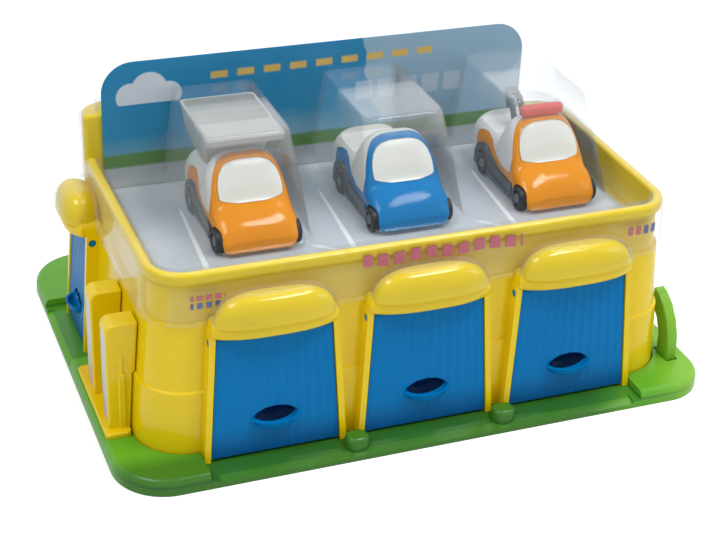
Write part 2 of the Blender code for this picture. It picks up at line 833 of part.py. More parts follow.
def cover_solid(inset):
    """The cover's outer form, or with an inset its inner form."""
    foot = SKIRT_FOOT - (0.004 if inset else 0.0)
    rim_z = RIM_TOP + GAP + 0.0009
    grow = 0.0016 - inset
    back = BODY_BACK + 0.0012
    corner = PARAPET_BACK_R
    rings = [
        wall_ring(grow + 0.0014, foot, back, corner),
        wall_ring(grow, rim_z - 0.0022, back, corner),
        wall_ring(grow - 0.0012, rim_z - 0.0006 - inset * 0.5, back, corner),
        wall_ring(grow - 0.0032, rim_z - inset, back, corner),
    ]
    solid = loft("film_cover", rings, CLEAR)
    for _, matrix, top_half, _, reach in BAYS:
        hood_half = top_half + HOOD_OVER - 0.002
        bulge = pillow("bulge", hood_half, reach, FILM_OFF - inset, HOOD_FOOT - 2 * inset, 1.0)
        join(solid, move(bulge, matrix))
    wide = 0.0022 - inset
    parapet_outline = []
    for shrink, z in (
        (0.0, DECK_TOP + 0.0023 + inset),
        (0.0, PARAPET_TOP - 0.0025),
        (0.0030, PARAPET_TOP + 0.0032 - inset),
    ):
        outline = parapet_plan(wide - shrink, CARD_FRONT - 0.0016 + inset)
        parapet_outline.append(flat_ring(outline, z))
    x0, x1 = POCKET_X
    radius = 0.024
    pocket_outline = [(x0 + inset, DECK_TOP + 0.0008), (x1 - inset, DECK_TOP + 0.0008)]
    for cx, start in ((x1 - radius, 0), (x0 + radius, 90)):
        for k in range(6):
            a = math.radians(start + 90 * k / 5)
            pocket_outline.append(
                (
                    cx + (radius - inset) * math.cos(a),
                    POCKET_TOP - radius + (radius - inset) * math.sin(a),
                )
            )
    pocket = prism("pocket", pocket_outline, CARD_FRONT - 0.0016 + inset, CARD_FRONT + 0.0040 - inset, "y")
    join(solid, loft("parapet shell", parapet_outline), pocket)
    web = WEB_Z - inset
    tray_rings = []
    for offset, z in ((-0.0126, web), (-0.0110, web + 0.0012), (-0.0092, rim_z - 0.0030), (-0.0060, rim_z + 0.004)):
        outline = rounded_rectangle(
            -RIM_HALF_X - offset - inset,
            RIM_HALF_X + offset + inset,
            -RIM_FRONT - offset - inset,
            CARD_FRONT - 0.0016 + inset,
            (0.0150 + inset, 0.0150 + inset, 0.0040 + inset, 0.0150 + inset),
            4,
        )
        tray_rings.append(flat_ring(outline, z))
    tray = loft("tray", tray_rings)
    cut(solid, tray)
    domes = [dome(x, inset, DOME_TOP, web) for x in DOME_X]
    join(solid, *domes)
    return solid


def build_cover():
    cover = cover_solid(0.0)
    for _, matrix, top_half, _, _ in BAYS:
        half = top_half + HOOD_OVER + 0.0008
        lip_room = block("lip room", (-half, -0.030, SKIRT_FOOT - 0.010), (half, 0.0035, LIP_TOP + 0.0006))
        cut(cover, move(lip_room, matrix))
    cut(cover, cover_solid(FILM))
    return soften(cover)


def section(y, half, top, foot, z_wide, steps=4):
    """Closed car body section at y: flat foot, sides bulging at z_wide, rounded over the top."""
    right = [(half * 0.93, y, foot)]
    for k in range(steps):
        a = math.radians(-12 + 94 * k / (steps - 1))
        c = max(math.cos(a), 0.0) ** 0.60
        s = math.copysign(abs(math.sin(a)) ** 0.88, math.sin(a))
        reach = top - z_wide if s > 0 else z_wide - foot
        right.append((half * c, y, z_wide + reach * s))
    return right + [(-x, y, z) for x, _, z in reversed(right)]


# Side stations of the car form: distance along Y, half width, top and height of the widest point.
STATIONS = (
    (-0.0370, 0.0222, 0.0102, 0.0070),
    (-0.0352, 0.0250, 0.0142, 0.0088),
    (-0.0315, 0.0266, 0.0192, 0.0120),
    (-0.0235, 0.0274, 0.0254, 0.0160),
    (-0.0160, 0.0276, 0.0296, 0.0170),
    (-0.0112, 0.0275, 0.0396, 0.0180),
    (-0.0055, 0.0273, 0.0490, 0.0190),
    (0.0, 0.0271, 0.0538, 0.0190),
    (0.0065, 0.0269, 0.0558, 0.0190),
    (0.0130, 0.0266, 0.0540, 0.0190),
    (0.0190, 0.0263, 0.0385, 0.0180),
    (0.0580, 0.0250, 0.0368, 0.0178),
    (0.0625, 0.0210, 0.0308, 0.0160),
)
CAR_FOOT = 0.0034
SCREEN_HALF = 0.0215
SCREEN_Z = (0.0295, 0.0526)
SCREEN_BACK = 0.0008
TUB_FLOOR = 0.0314
PANEL_TOP = (
    (0.0468, 0.0120),
    (0.0430, 0.0192),
    (0.0372, 0.0222),
    (0.0290, 0.0222),
    (0.0215, 0.0185),
    (0.0090, 0.0140),
    (-0.0080, 0.0128),
    (-0.0135, 0.0140),
)
STRIP_TOP = (
    (-0.0096, 0.0194),
    (0.0040, 0.0188),
    (0.0175, 0.0230),
    (0.0275, 0.0282),
    (0.0360, 0.0300),
    (0.0440, 0.0288),
    (0.0495, 0.0262),
)


FRAME_BACK = (
    (-0.0090, 0.0300),
    (-0.0020, 0.0420),
    (0.0040, 0.0510),
    (0.0075, 0.0700),
)


def hull(name, grow=0.0, look=None):
    """Whole car form: blunt nose, sloping screen, round roof and low tail. z = 0 is the ground."""
    rings = []
    for y, half, top, z_wide in STATIONS:
        rings.append(section(y, half + grow, top + grow, CAR_FOOT, z_wide))
    rings[0] = [(x, y - grow, z) for x, y, z in rings[0]]
    rings[-1] = [(x, y + grow, z) for x, y, z in rings[-1]]
    return loft(name, rings, look)


def shell_zone(name, margin, reach):
    """Side outline of the coloured shell: the nose, the screen frame and the strip over the sill.
    The margin widens it, so that the same outline cuts the upper with a gap."""
    low = [(y, z + GAP - margin) for y, z in PANEL_TOP]
    low[0] = (0.0495 + margin, low[0][1])
    low[-1] = (-0.0138, low[-1][1])
    outline = [(-0.060, -0.010), (-0.0138, -0.010)] + low[::-1]
    outline += [(0.0495 + margin, 0.0262 + margin)] + [(y, z + margin) for y, z in STRIP_TOP[::-1][1:]]
    outline += [(y + margin, z) for y, z in FRAME_BACK] + [(-0.060, 0.0700)]
    return prism(name, outline, reach[0], reach[1], "x")


def wheel_arches(radius, half_in=0.0206):
    tools = []
    for y in AXLE_Y:
        for side in (-1, 1):
            ends = sorted((side * half_in, side * 0.040))
            tool = turned("arch", [(radius, ends[0]), (radius, ends[1])], "x", 12)
            tools.append(move(tool, Matrix.Translation((0, y, TYRE_R))))
    return tools


def window_outline(grow):
    """Windscreen outline seen from the front, rounded over the top."""
    half = SCREEN_HALF + grow
    low, high = SCREEN_Z[0] - grow, SCREEN_Z[1] + grow
    right = [(0.45, -0.02), (0.93, 0.04), (1.0, 0.18), (0.98, 0.45), (0.87, 0.72), (0.64, 0.92), (0.32, 1.0)]
    points = [(x * half, low + (high - low) * t) for x, t in right]
    return points + [(-x, z) for x, z in points[::-1]]


def hull_core(name, shrink):
    core = hull(name, shrink)
    core.data.transform(Matrix.Translation((0, 0, -0.0006)))
    low = block("low", (-0.0230, -0.0330, -0.004), (0.0230, 0.0570, 0.0120))
    return join(core, low)


def build_shell(name, look):
    shell = hull(name, 0.0, look)
    keep(shell, shell_zone("zone", 0.0, (-0.050, 0.050)))
    cut(shell, hull_core("core", -0.0022))
    cut(shell, *wheel_arches(TYRE_R + 0.0014))
    cut(shell, prism("screen room", window_outline(GAP), -0.060, SCREEN_BACK + 0.0020, "y"))
    return shell


def build_upper(name, look, tub):
    upper = hull(name, -0.0001, look)
    clear = 2 * GAP
    front = [(-0.060, -0.010), (STRIP_TOP[0][0] + clear, -0.010)]
    front += [(y + clear, z) for y, z in FRAME_BACK] + [(-0.060, 0.0700)]
    cut(upper, prism("front room", front, -0.050, 0.050, "x"))
    for side in (-1, 1):
        ends = sorted((side * 0.0182, side * 0.050))
        below = [(-0.060, -0.010), (0.0474, -0.010), (0.0474, 0.0118), (0.0495 + GAP, 0.0118)]
        below += [(y + (GAP if y > 0.049 else 0.0), z + GAP) for y, z in STRIP_TOP[::-1]]
        below.append((-0.060, STRIP_TOP[0][1] + GAP))
        cut(upper, prism("sill room", below, ends[0], ends[1], "x"))
    cut(upper, block("under", (-0.0226, -0.060, -0.010), (0.0226, 0.0585, 0.0235)))
    cut(upper, block("cab hollow", (-0.0190, -0.020, 0.010), (0.0190, 0.0120, 0.0440)))
    if tub:
        rings = []
        for inset, z in ((0.0070, TUB_FLOOR), (0.0052, TUB_FLOOR + 0.0012), (0.0042, 0.0420)):
            outline = rounded_rectangle(
                -0.0262 + inset, 0.0262 - inset, 0.0180 + inset, 0.0628 - inset, 0.006, 3
            )
            rings.append(flat_ring(outline, z))
        cut(upper, loft("tub room", rings))
    return upper


def build_screen(name):
    screen = hull(name, 0.0005, CREAM)
    keep(screen, shell_zone("zone", 0.0, (-0.050, 0.050)))
    keep(screen, prism("outline", window_outline(0.0), -0.060, SCREEN_BACK, "y"))
    cut(screen, hull_core("core", -0.0017))
    return screen


def build_chassis(name):
    """Slate pan with side sills that arch over the rear wheels, and bores for both axles."""
    pan = rounded_block(
        name, (-0.0150, 0.0150), (-0.0330, 0.0560), (0.0040, 0.0104), 0.0050, 0.0012, SLATE, 2
    )
    join(pan, block("cross", (-0.0280, -0.0110, 0.0034), (0.0280, 0.0200, 0.0066)))
    join(pan, block("tail cross", (-0.0275, 0.0436, 0.0040), (0.0275, 0.0462, 0.0090)))
    for side in (-1, 1):
        ends = sorted((side * 0.0228, side * 0.0282))
        sill = [(-0.0135, 0.0034), (0.0468, 0.0036)] + list(PANEL_TOP)
        join(pan, prism("sill", sill, ends[0], ends[1], "x"))
        outer = sorted((side * 0.0272, side * 0.0300))
        groove = [(-0.0110, 0.0062), (-0.0095, 0.0048), (0.0205, 0.0058), (0.0210, 0.0108), (-0.0085, 0.0095)]
        cut(pan, prism("groove", groove, outer[0], outer[1], "x"))
    for tool in wheel_arches(TYRE_R + 0.0014):
        cut(pan, tool)
    for y in AXLE_Y:
        bore = turned("bore", [(AXLE_R + 0.0004, -0.024), (AXLE_R + 0.0004, 0.024)], "x", 8)
        cut(pan, move(bore, Matrix.Translation((0, y, TYRE_R))))
    return pan


def build_wheel(name, side, y):
    """Tyre and hub with a blind bore; the outer face points away from the car."""
    half = TYRE_WIDTH / 2
    bore = AXLE_R + 0.0002
    profile = [
        (bore, half - 0.0022),
        (bore, -half),
        (TYRE_R, -half),
        (TYRE_R, half - 0.0014),
        (TYRE_R - 0.0016, half),
    ]
    wheel = turned(name, profile, "x", 12, TYRE)
    if side < 0:
        wheel.data.transform(Matrix.Rotation(math.pi, 4, "Z"))
    wheel.data.transform(Matrix.Translation((side * TRACK, y, TYRE_R)))
    return wheel


def build_axle(name, y):
    half = TRACK + TYRE_WIDTH / 2 - 0.0022 - GAP
    axle = turned(name, [(AXLE_R, -half), (AXLE_R, half)], "x", 8, STEEL)
    axle.data.transform(Matrix.Translation((0, y, TYRE_R)))
    return axle


def build_tipper(name):
    """Tipping bed, open on top, with a canopy over the cab."""
    def bed_rings(shrink, floor):
        rings = []
        for z, half, front, back in (
            (floor, 0.0195, 0.0235, 0.0600),
            (0.0520, 0.0235, 0.0225, 0.0645),
            (0.0680, 0.0262, 0.0215, 0.0665),
        ):
            outline = rounded_rectangle(
                -half + shrink, half - shrink, front + shrink, back - shrink, 0.0035, 3
            )
            rings.append(flat_ring(outline, z))
        return rings

    bed = loft(name, bed_rings(0.0, 0.0390), GREY)
    canopy_rings = []
    for inset, z in ((0.0004, 0.0632), (0.0, 0.0642), (0.0, 0.0672), (0.0010, 0.0680)):
        outline = rounded_rectangle(
            -0.0268 + inset, 0.0268 - inset, -0.0024 + inset, 0.0300, 0.0030, 3
        )
        canopy_rings.append(flat_ring(outline, z))
    join(bed, loft("canopy", canopy_rings))
    inner = bed_rings(0.0018, 0.0412)
    inner.append([(x, y, 0.080) for x, y, _ in inner[-1]])
    cut(bed, loft("bed room", inner))
    return bed


def build_light_bar(name):
    bar = rounded_block(
        name, (-0.0160, 0.0160), (0.0010, 0.0090), (0.0560, 0.0620), 0.0036, 0.0020, RED, 4
    )
    return bar


def build_crane():
    """Tow crane: a foot on the tub floor, a leaning mast and a hook arm."""
    mast = [
        (0.0270, TUB_FLOOR + GAP),
        (0.0400, TUB_FLOOR + GAP),
        (0.0380, TUB_FLOOR + 0.0022),
        (0.0450, 0.0450),
        (0.0540, 0.0505),
        (0.0540, 0.0550),
        (0.0420, 0.0515),
        (0.0320, 0.0360),
    ]
    crane = prism("tow_crane", mast, -0.0045, 0.0045, "x", SLATE)
    hook = [
        (0.0505, 0.0525),
        (0.0555, 0.0545),
        (0.0575, 0.0440),
        (0.0545, 0.0390),
        (0.0495, 0.0395),
        (0.0490, 0.0425),
        (0.0530, 0.0425),
        (0.0540, 0.0450),
    ]
    join(crane, prism("hook", hook, -0.0016, 0.0016, "x"))
    return crane


def build_cars():
    looks = (("truck", ORANGE, WHITE), ("coupe", CAR_BLUE, CREAM), ("tow", ORANGE, WHITE))
    ground = DECK_TOP + GAP + CARD_THICK + GAP
    for (kind, look, upper_look), x in zip(looks, CAR_X):
        parts = [
            build_shell(f"{kind}_shell", look),
            build_upper(f"{kind}_upper", upper_look, kind != "truck"),
            build_screen(f"{kind}_screen"),
            build_chassis(f"{kind}_chassis"),
        ]
        if kind == "truck":
            parts.append(build_tipper("truck_bed"))
        if kind == "tow":
            parts.append(build_light_bar("tow_light_bar"))
            parts.append(build_crane())
        shift = Matrix.Translation((x, CAR_Y, ground))
        for part in parts:
            move(part, shift)
            soften(part)
        for place, y in zip(("front", "rear"), AXLE_Y):
            pivot = (x, CAR_Y + y, ground + TYRE_R)
            for side, word in ((-1, "left"), (1, "right")):
                wheel = build_wheel(f"{kind}_wheel_{place}_{word}", side, y)
                move(wheel, shift)
                soften(wheel, 40)
                set_origin(wheel, pivot)
            axle = build_axle(f"{kind}_axle_{place}", y)
            move(axle, shift)
            set_origin(axle, pivot)


build_body()
build_base()
build_clip()
build_pumps()
build_labels()
for bay in BAYS:
    build_door(*bay)
build_cards()
build_cover()
build_cars()

frame = bpy.data.objects.new("garage_frame", None)
bpy.context.collection.objects.link(frame)
frame.location = (0, (BASE_FRONT - BASE_BACK) / 2, 0)
for made in list(bpy.data.objects):
    if made != frame and made.parent is None:
        made.parent = frame
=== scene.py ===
import json
import math

import bmesh
import bpy
from mathutils import Matrix, Vector


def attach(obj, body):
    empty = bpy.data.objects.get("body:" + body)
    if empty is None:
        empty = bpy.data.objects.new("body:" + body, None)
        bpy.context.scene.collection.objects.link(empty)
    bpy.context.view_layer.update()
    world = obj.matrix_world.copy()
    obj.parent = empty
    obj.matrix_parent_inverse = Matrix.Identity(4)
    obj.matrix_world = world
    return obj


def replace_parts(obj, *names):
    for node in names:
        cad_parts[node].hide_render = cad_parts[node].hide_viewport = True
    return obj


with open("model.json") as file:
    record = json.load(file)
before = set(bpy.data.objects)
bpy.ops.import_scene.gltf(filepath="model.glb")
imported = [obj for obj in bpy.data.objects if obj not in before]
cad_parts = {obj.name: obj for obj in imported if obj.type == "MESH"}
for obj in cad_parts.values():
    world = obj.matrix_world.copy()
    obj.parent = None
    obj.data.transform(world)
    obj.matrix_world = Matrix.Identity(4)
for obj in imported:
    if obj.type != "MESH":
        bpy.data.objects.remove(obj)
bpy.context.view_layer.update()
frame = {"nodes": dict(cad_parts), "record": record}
nodes = frame["nodes"]
record = frame["record"]
bodyOf = {node: body for body, members in record["behaviour"]["bodies"].items() for node in members}
print("frame loaded,", len(nodes), "nodes")


def operator(operation, swapped=False):
    # A method that adds one Math node, with the values swapped for the reflected forms.
    def apply(self, *others):
        values = (*others, self) if swapped else (self, *others)
        return self.coat.add("Math", {"operation": operation}, dict(enumerate(values)))

    return apply


class Wire:
    # One socket in a shader, so that maths reads as an expression.
    def __init__(self, coat, socket):
        self.coat = coat
        self.socket = socket

    __add__ = operator("ADD")
    __radd__ = operator("ADD", True)
    __sub__ = operator("SUBTRACT")
    __rsub__ = operator("SUBTRACT", True)
    __mul__ = operator("MULTIPLY")
    __rmul__ = operator("MULTIPLY", True)
    __truediv__ = operator("DIVIDE")
    __gt__ = operator("GREATER_THAN")
    __pow__ = operator("POWER")
    __abs__ = operator("ABSOLUTE")
    least = operator("MINIMUM")
    most = operator("MAXIMUM")
    repeat = operator("FLOORED_MODULO")

    def share(self):
        return self.most(0.0).least(1.0)

    def between(self, low, high, edge):
        # 1 inside low..high with soft edges
        rise = (self - (low - edge)) / (2 * edge)
        fall = ((high + edge) - self) / (2 * edge)
        return rise.least(fall).share()


class Surface:
    # The nodes of one material or world.
    def __init__(self, owner, kind="Material"):
        owner.use_nodes = True
        self.owner = owner
        self.tree = owner.node_tree
        self.tree.nodes.clear()
        self.output = self.tree.nodes.new("ShaderNodeOutput" + kind)

    def add(self, kind, settings=None, inputs=None, output=0):
        node = self.tree.nodes.new("ShaderNode" + kind)
        for key, value in (settings or {}).items():
            if key == "stops":
                ramp = node.color_ramp
                while len(ramp.elements) < len(value):
                    ramp.elements.new(0.5)
                for element, (place, colour) in zip(ramp.elements, value):
                    element.position = place
                    element.color = (*colour, 1)
            else:
                setattr(node, key, value)
        for key, value in (inputs or {}).items():
            if isinstance(value, Wire):
                self.tree.links.new(value.socket, node.inputs[key])
            else:
                node.inputs[key].default_value = value
        return Wire(self, node.outputs[output])

    def coordinates(self):
        return self.add("TexCoord", output="Object")

    def axes(self):
        parts = self.add("SeparateXYZ", inputs={0: self.coordinates()})
        return [Wire(self, socket) for socket in parts.socket.node.outputs]

    def noise(self, scale, detail=2.0, stretch=(1, 1, 1)):
        stretched = {"Vector": self.coordinates(), "Scale": stretch}
        place = self.add("Mapping", {"vector_type": "POINT"}, stretched)
        return self.add("TexNoise", {}, {"Vector": place, "Scale": scale, "Detail": detail})

    def bump(self, strength, distance, height):
        return self.add("Bump", {}, {"Strength": strength, "Distance": distance, "Height": height})

    def colour(self, value):
        return value if isinstance(value, Wire) else (*value, 1)

    def mix(self, share, first, second):
        # colours mixed by a share from 0 to 1
        inputs = {0: share, 6: self.colour(first), 7: self.colour(second)}
        return self.add("Mix", {"data_type": "RGBA"}, inputs, output=2)

    def blend(self, share, first, second):
        # shaders mixed by a share from 0 to 1
        return self.add("MixShader", {}, {0: share, 1: first, 2: second})

    def ray(self, kind):
        return self.add("LightPath", output=f"Is {kind} Ray")

    def shader(self, colour, roughness, normal=None, **plain):
        inputs = {"Base Color": self.colour(colour), "Roughness": roughness, **plain}
        if normal:
            inputs["Normal"] = normal
        return self.add("BsdfPrincipled", {}, inputs)

    def finish(self, shader):
        self.tree.links.new(shader.socket, self.output.inputs["Surface"])
        return self.owner


def newCoat(name):
    return Surface(bpy.data.materials.new(name))


def mouldedPlastic(name, colour, roughness, sheen):
    # Injection-moulded plastic: faint flow marks in the colour, a slight orange peel and uneven gloss, with
    # painted shade and light on the green and the blue.
    coat = newCoat(name + "Plastic")
    flow = coat.noise(38.0, 3.0, (1.0, 1.0, 0.6))
    peel = coat.noise(900.0, 2.0)
    tone = coat.mix(flow, tuple(c * 0.95 for c in colour), tuple(min(1.0, c * 1.05) for c in colour))
    if name == "green":
        x, y, z = coat.axes()
        # painted shade: darker in the sunk drives and along the front; painted light: paler at the right end
        sunkDriveShade = ((0.0082 - z) * 900.0).share() * (z > 0.0055)
        tone = coat.mix(sunkDriveShade * 0.55, tone, (0.018, 0.145, 0.022))
        # painted shade: the strip along the plate's front is darkened
        front = ((-0.118 - y) * 60.0).share() * ((0.15 - x) * 30.0).share()
        tone = coat.mix(front * 0.65, tone, (0.012, 0.075, 0.012))
        rightEndLight = ((x - 0.16) * 30.0).share()
        tone = coat.mix(rightEndLight * 0.5, tone, (0.3, 0.56, 0.05))
    if name == "blue":
        _, _, z = coat.axes()
        # painted shade: the doors darken to navy towards their foot
        foot = ((0.028 - z) * 50.0).share()
        tone = coat.mix(foot * 0.75, tone, (0.006, 0.055, 0.2))
    gloss = roughness + (flow - 0.5) * 0.08 + (peel - 0.5) * 0.04
    bump = coat.bump(0.02, 0.0004, peel)
    return coat.finish(coat.shader(tone, gloss, bump, **{"Specular IOR Level": sheen}))


# Colour, roughness and specular level of each plastic
looks = {
    "yellow": ((0.79, 0.57, 0.002), 0.13, 0.4),
    "green": ((0.105, 0.36, 0.018), 0.24, 0.3),
    "blue": ((0.0, 0.168, 0.44), 0.24, 0.09),
    # painted shade: a dark blue for the door pockets, standing in for the shade in the recess
    "pocketShade": ((0.004, 0.04, 0.15), 0.4, 0.1),
    "slate": ((0.03, 0.048, 0.066), 0.34, 0.35),
    "hub": ((0.11, 0.14, 0.17), 0.3, 0.4),
    "tyre": ((0.012, 0.015, 0.019), 0.42, 0.3),
    "cream": ((0.8, 0.79, 0.74), 0.26, 0.4),
    "white": ((0.82, 0.82, 0.82), 0.24, 0.4),
    "grey": ((0.42, 0.42, 0.4), 0.34, 0.3),
    "orange": ((0.82, 0.285, 0.0), 0.12, 0.26),
    "carBlue": ((0.0, 0.195, 0.5), 0.12, 0.16),
    "red": ((0.8, 0.03, 0.004), 0.2, 0.22),
}


def steelPin():
    coat = newCoat("axleSteel")
    streaks = coat.noise(300.0, 2.0, (0.05, 1.0, 1.0))
    tone = coat.mix(streaks, (0.42, 0.43, 0.45), (0.62, 0.63, 0.65))
    return coat.finish(coat.shader(tone, 0.24 + streaks * 0.16, Metallic=1.0))


def clearFilm():
    # Vacuum-formed clear sheet: see-through face on, a little milky and shiny where seen along it,
    # with plain printed marks on the front of its skirt.
    coat = newCoat("clearFilm")
    x, y, z = coat.axes()
    ripple = coat.noise(45.0, 2.0, (1.0, 1.0, 0.35))
    bump = coat.bump(0.12, 0.0006, ripple)
    facing = coat.add("LayerWeight", {}, {"Blend": 0.5, "Normal": bump}, output="Facing")
    clear = coat.add("BsdfTransparent", {}, {"Color": (0.965, 0.972, 0.974, 1)})
    tone = coat.mix(ripple, (0.62, 0.64, 0.66), (0.72, 0.74, 0.75))
    milk = coat.shader(tone, 0.08, bump, **{"Specular IOR Level": 0.2})
    shine = coat.add("BsdfGlossy", {}, {"Color": (1, 1, 1, 1), "Roughness": 0.04, "Normal": bump})
    # painted reflection: the dome tops are made milkier to stand in for the sheen on their sloping faces; the
    # skirt's front is made a little milkier too
    domeTopSheen = z.between(0.174, 0.3, 0.01) * y.between(-0.2, 0.018, 0.003)
    skirtFront = z.between(0.099, 0.128, 0.003) * y.between(-0.13, -0.1165, 0.001)
    milkAndSheen = domeTopSheen * 0.16 + skirtFront * 0.05
    skin = coat.blend((facing ** 3.0) * 0.22 + 0.004 + milkAndSheen, clear, milk)
    both = coat.blend((facing ** 3.5) * 0.3 + 0.006, skin, shine)
    # a row of pink strokes in the middle, small red and blue marks at the ends
    edge = 0.0004
    wave = z - 0.0062 - abs((x + 0.004).repeat(0.044) - 0.022) * 0.1
    stroke = (x + 0.003).repeat(0.011).between(0.0015, 0.0088, edge) * wave.between(0.1175, 0.1255, edge)
    stroke = stroke * x.between(-0.044, 0.066, edge)
    dots = (x + 0.002).repeat(0.0058).between(0.001, 0.0046, edge)
    left = x.between(-0.156, -0.134, edge) * dots
    right = x.between(0.144, 0.166, edge) * dots
    upper = z.between(0.1195, 0.1228, edge) * left
    lower = z.between(0.114, 0.1178, edge) * left
    badge = z.between(0.1185, 0.1245, edge) * right
    ink = coat.mix(lower, (0.5, 0.12, 0.17), (0.05, 0.12, 0.32))
    ink = coat.mix(badge * (x > 0.155), ink, (0.05, 0.12, 0.32))
    marks = stroke.most(upper).most(lower).most(badge) * y.between(-0.1232, -0.117, 0.0002)
    return coat.finish(coat.blend(marks * 0.8, both, coat.shader(ink, 0.25, bump)))


def deckPrint():
    # Grey printed floor with tapered white bay lines and slanted ticks between the bays.
    coat = newCoat("deckPrint")
    x, y, _ = coat.axes()
    cloud = coat.noise(18.0, 5.0)
    speck = coat.noise(260.0, 3.0)
    tone = coat.mix(cloud, (0.36, 0.4, 0.46), (0.6, 0.63, 0.68))
    tone = coat.mix(speck * 0.5, tone, (0.62, 0.65, 0.69))
    marks = x * 0.0
    for place in (-0.133, -0.033, 0.083):
        wide = 0.0028 + (y + 0.12) * -0.012
        centre = x - place - (y + 0.1) * 0.06
        marks = marks.most(((wide - abs(centre)) * 1600.0).share() * y.between(-0.112, 0.01, 0.004))
    for place in (-0.052, 0.066):
        slant = (y + (x - place) * 0.9).repeat(0.0135).between(0.0, 0.004, 0.001)
        tick = slant * x.between(place - 0.01, place + 0.01, 0.001) * y.between(-0.118, -0.062, 0.002)
        marks = marks.most(tick * 0.7)
    tone = coat.mix(marks, tone, (0.88, 0.89, 0.9))
    return coat.finish(coat.shader(tone, 0.36 + cloud * 0.1))


def backPrint():
    # Deep sky over a pale haze, a soft round cloud, a plain sail shape, low hills and small pale tiles.
    coat = newCoat("backPrint")
    x, _, z = coat.axes()
    cloud = coat.noise(9.0, 5.0, (1.0, 1.0, 2.4))
    dip = z + abs(x + 0.04) * 0.1 + cloud * 0.012
    skyStops = (
        (0.0, (0.36, 0.56, 0.68)), (0.25, (0.22, 0.47, 0.62)), (0.52, (0.01, 0.28, 0.52)),
        (0.75, (0.0, 0.24, 0.48)), (1.0, (0.0, 0.235, 0.47)),
    )
    tone = coat.add("ValToRGB", {"stops": skyStops}, {0: (dip - 0.128) / 0.075})
    sail = ((x - 0.03) * 900.0 + (z - 0.15) * 260.0 + (cloud - 0.5) * 30.0).share()
    tone = coat.mix(sail * 0.72, tone, (0.42, 0.56, 0.66))
    puff = x * 0.0
    for cx, cz, r in ((-0.148, 0.179, 0.0105), (-0.135, 0.1835, 0.013), (-0.1215, 0.179, 0.0095)):
        puff = puff.most(1.0 - ((x - cx) ** 2.0 + (z - cz) ** 2.0) / (r * r))
    puff = (puff * 6.0).share() * (z > 0.1735)
    tone = coat.mix(puff * 0.85, tone, (0.78, 0.8, 0.84))
    dash = x.repeat(0.019).between(0.003, 0.015, 0.0006) * (z - x * 0.012).between(0.1875, 0.1925, 0.0006)
    tone = coat.mix(dash * x.between(-0.098, 0.072, 0.001) * 0.9, tone, (0.8, 0.5, 0.06))
    tile = (x - 0.013).repeat(0.017).between(0.0012, 0.014, 0.0005) * z.between(0.158, 0.172, 0.0005)
    tone = coat.mix(tile * x.between(0.014, 0.098, 0.0006) * 0.45, tone, (0.72, 0.76, 0.8))
    hill = ((0.1345 + cloud * 0.008 - z) * 500.0).share()
    tone = coat.mix(hill, tone, (0.13, 0.3, 0.08))
    tone = coat.mix(((0.1285 - z) * 500.0).share(), tone, (0.5, 0.54, 0.58))
    return coat.finish(coat.shader(tone, 0.34 + cloud * 0.08))


def pumpPrint():
    # Orange foot and a dusty red band under pale grey, in arcs round each tower.
    coat = newCoat("pumpPrint")
    _, y, z = coat.axes()
    blur = coat.noise(220.0, 3.0)
    swoop = z + abs(y + 0.0605).least(abs(y + 0.0125)) * 1.6
    stops = (
        (0.0, (0.6, 0.17, 0.015)), (0.3, (0.66, 0.24, 0.02)), (0.36, (0.62, 0.26, 0.24)),
        (0.6, (0.58, 0.3, 0.31)), (0.66, (0.46, 0.49, 0.52)), (1.0, (0.56, 0.58, 0.6)),
    )
    tone = coat.add("ValToRGB", {"stops": stops}, {0: (swoop - 0.019) / 0.071 + (blur - 0.5) * 0.03})
    return coat.finish(coat.shader(tone, 0.3 + blur * 0.1))


finishes = {look: mouldedPlastic(look, *values) for look, values in looks.items()}
finishes.update(steel=steelPin(), film=clearFilm(), deck=deckPrint(), back=backPrint(), pump=pumpPrint())
print("materials made,", len(finishes))


def paint(made, look, angle=32):
    made.data.materials.clear()
    made.data.materials.append(finishes[look])
    made.data.shade_smooth()
    made.data.set_sharp_from_angle(angle=math.radians(angle))


carried = {"pump_label": "pump", "deck_card": "deck", "_axle_": "steel"}
for name, node in nodes.items():
    paint(node, next((look for key, look in carried.items() if key in name), "grey"))
print("carried-over nodes painted")


class Sizes(dict):
    # A piece's sizes in metres, read as piece.name. The tray's centre is at x = y = 0.
    __getattr__ = dict.__getitem__


gap = 0.0003


def at(x, y, z):
    return Matrix.Translation((x, y, z))


def signed(value, power):
    # A power that keeps the value's sign.
    return math.copysign(abs(value) ** power, value)


def newObject(name, data):
    made = bpy.data.objects.new(name, data)
    bpy.context.scene.collection.objects.link(made)
    return made


def fromShape(name, shape):
    mesh = bpy.data.meshes.new(name)
    shape.to_mesh(mesh)
    shape.free()
    return newObject(name, mesh)


def loft(rings, name="tool"):
    # Skin over rings with equal point counts, capped at both ends.
    shape = bmesh.new()
    rows = [[shape.verts.new(p) for p in ring] for ring in rings]
    for low, high in zip(rows, rows[1:]):
        for i in range(len(low)):
            j = (i + 1) % len(low)
            shape.faces.new((low[i], low[j], high[j], high[i]))
    shape.faces.new(rows[0][::-1])
    shape.faces.new(rows[-1])
    bmesh.ops.recalc_face_normals(shape, faces=shape.faces)
    return fromShape(name, shape)


def block(low, high):
    (x0, y0, z0), (x1, y1, z1) = low, high
    plan = [(x0, y0), (x1, y0), (x1, y1), (x0, y1)]
    return loft([flatRing(plan, z) for z in (z0, z1)])


def prism(outline, start, end, axis="z", name="tool"):
    # Outline points are (x, y) along z, (x, z) along y, or (y, z) along x.
    place = {
        "z": lambda a, b, c: (a, b, c),
        "y": lambda a, b, c: (a, c, b),
        "x": lambda a, b, c: (c, a, b),
    }[axis]
    return loft([[place(a, b, c) for a, b in outline] for c in (start, end)], name)


def arc(cx, cy, radius, start, sweep, steps):
    turns = [math.radians(start + sweep * k / steps) for k in range(steps + 1)]
    return [(cx + radius * math.cos(a), cy + radius * math.sin(a)) for a in turns]


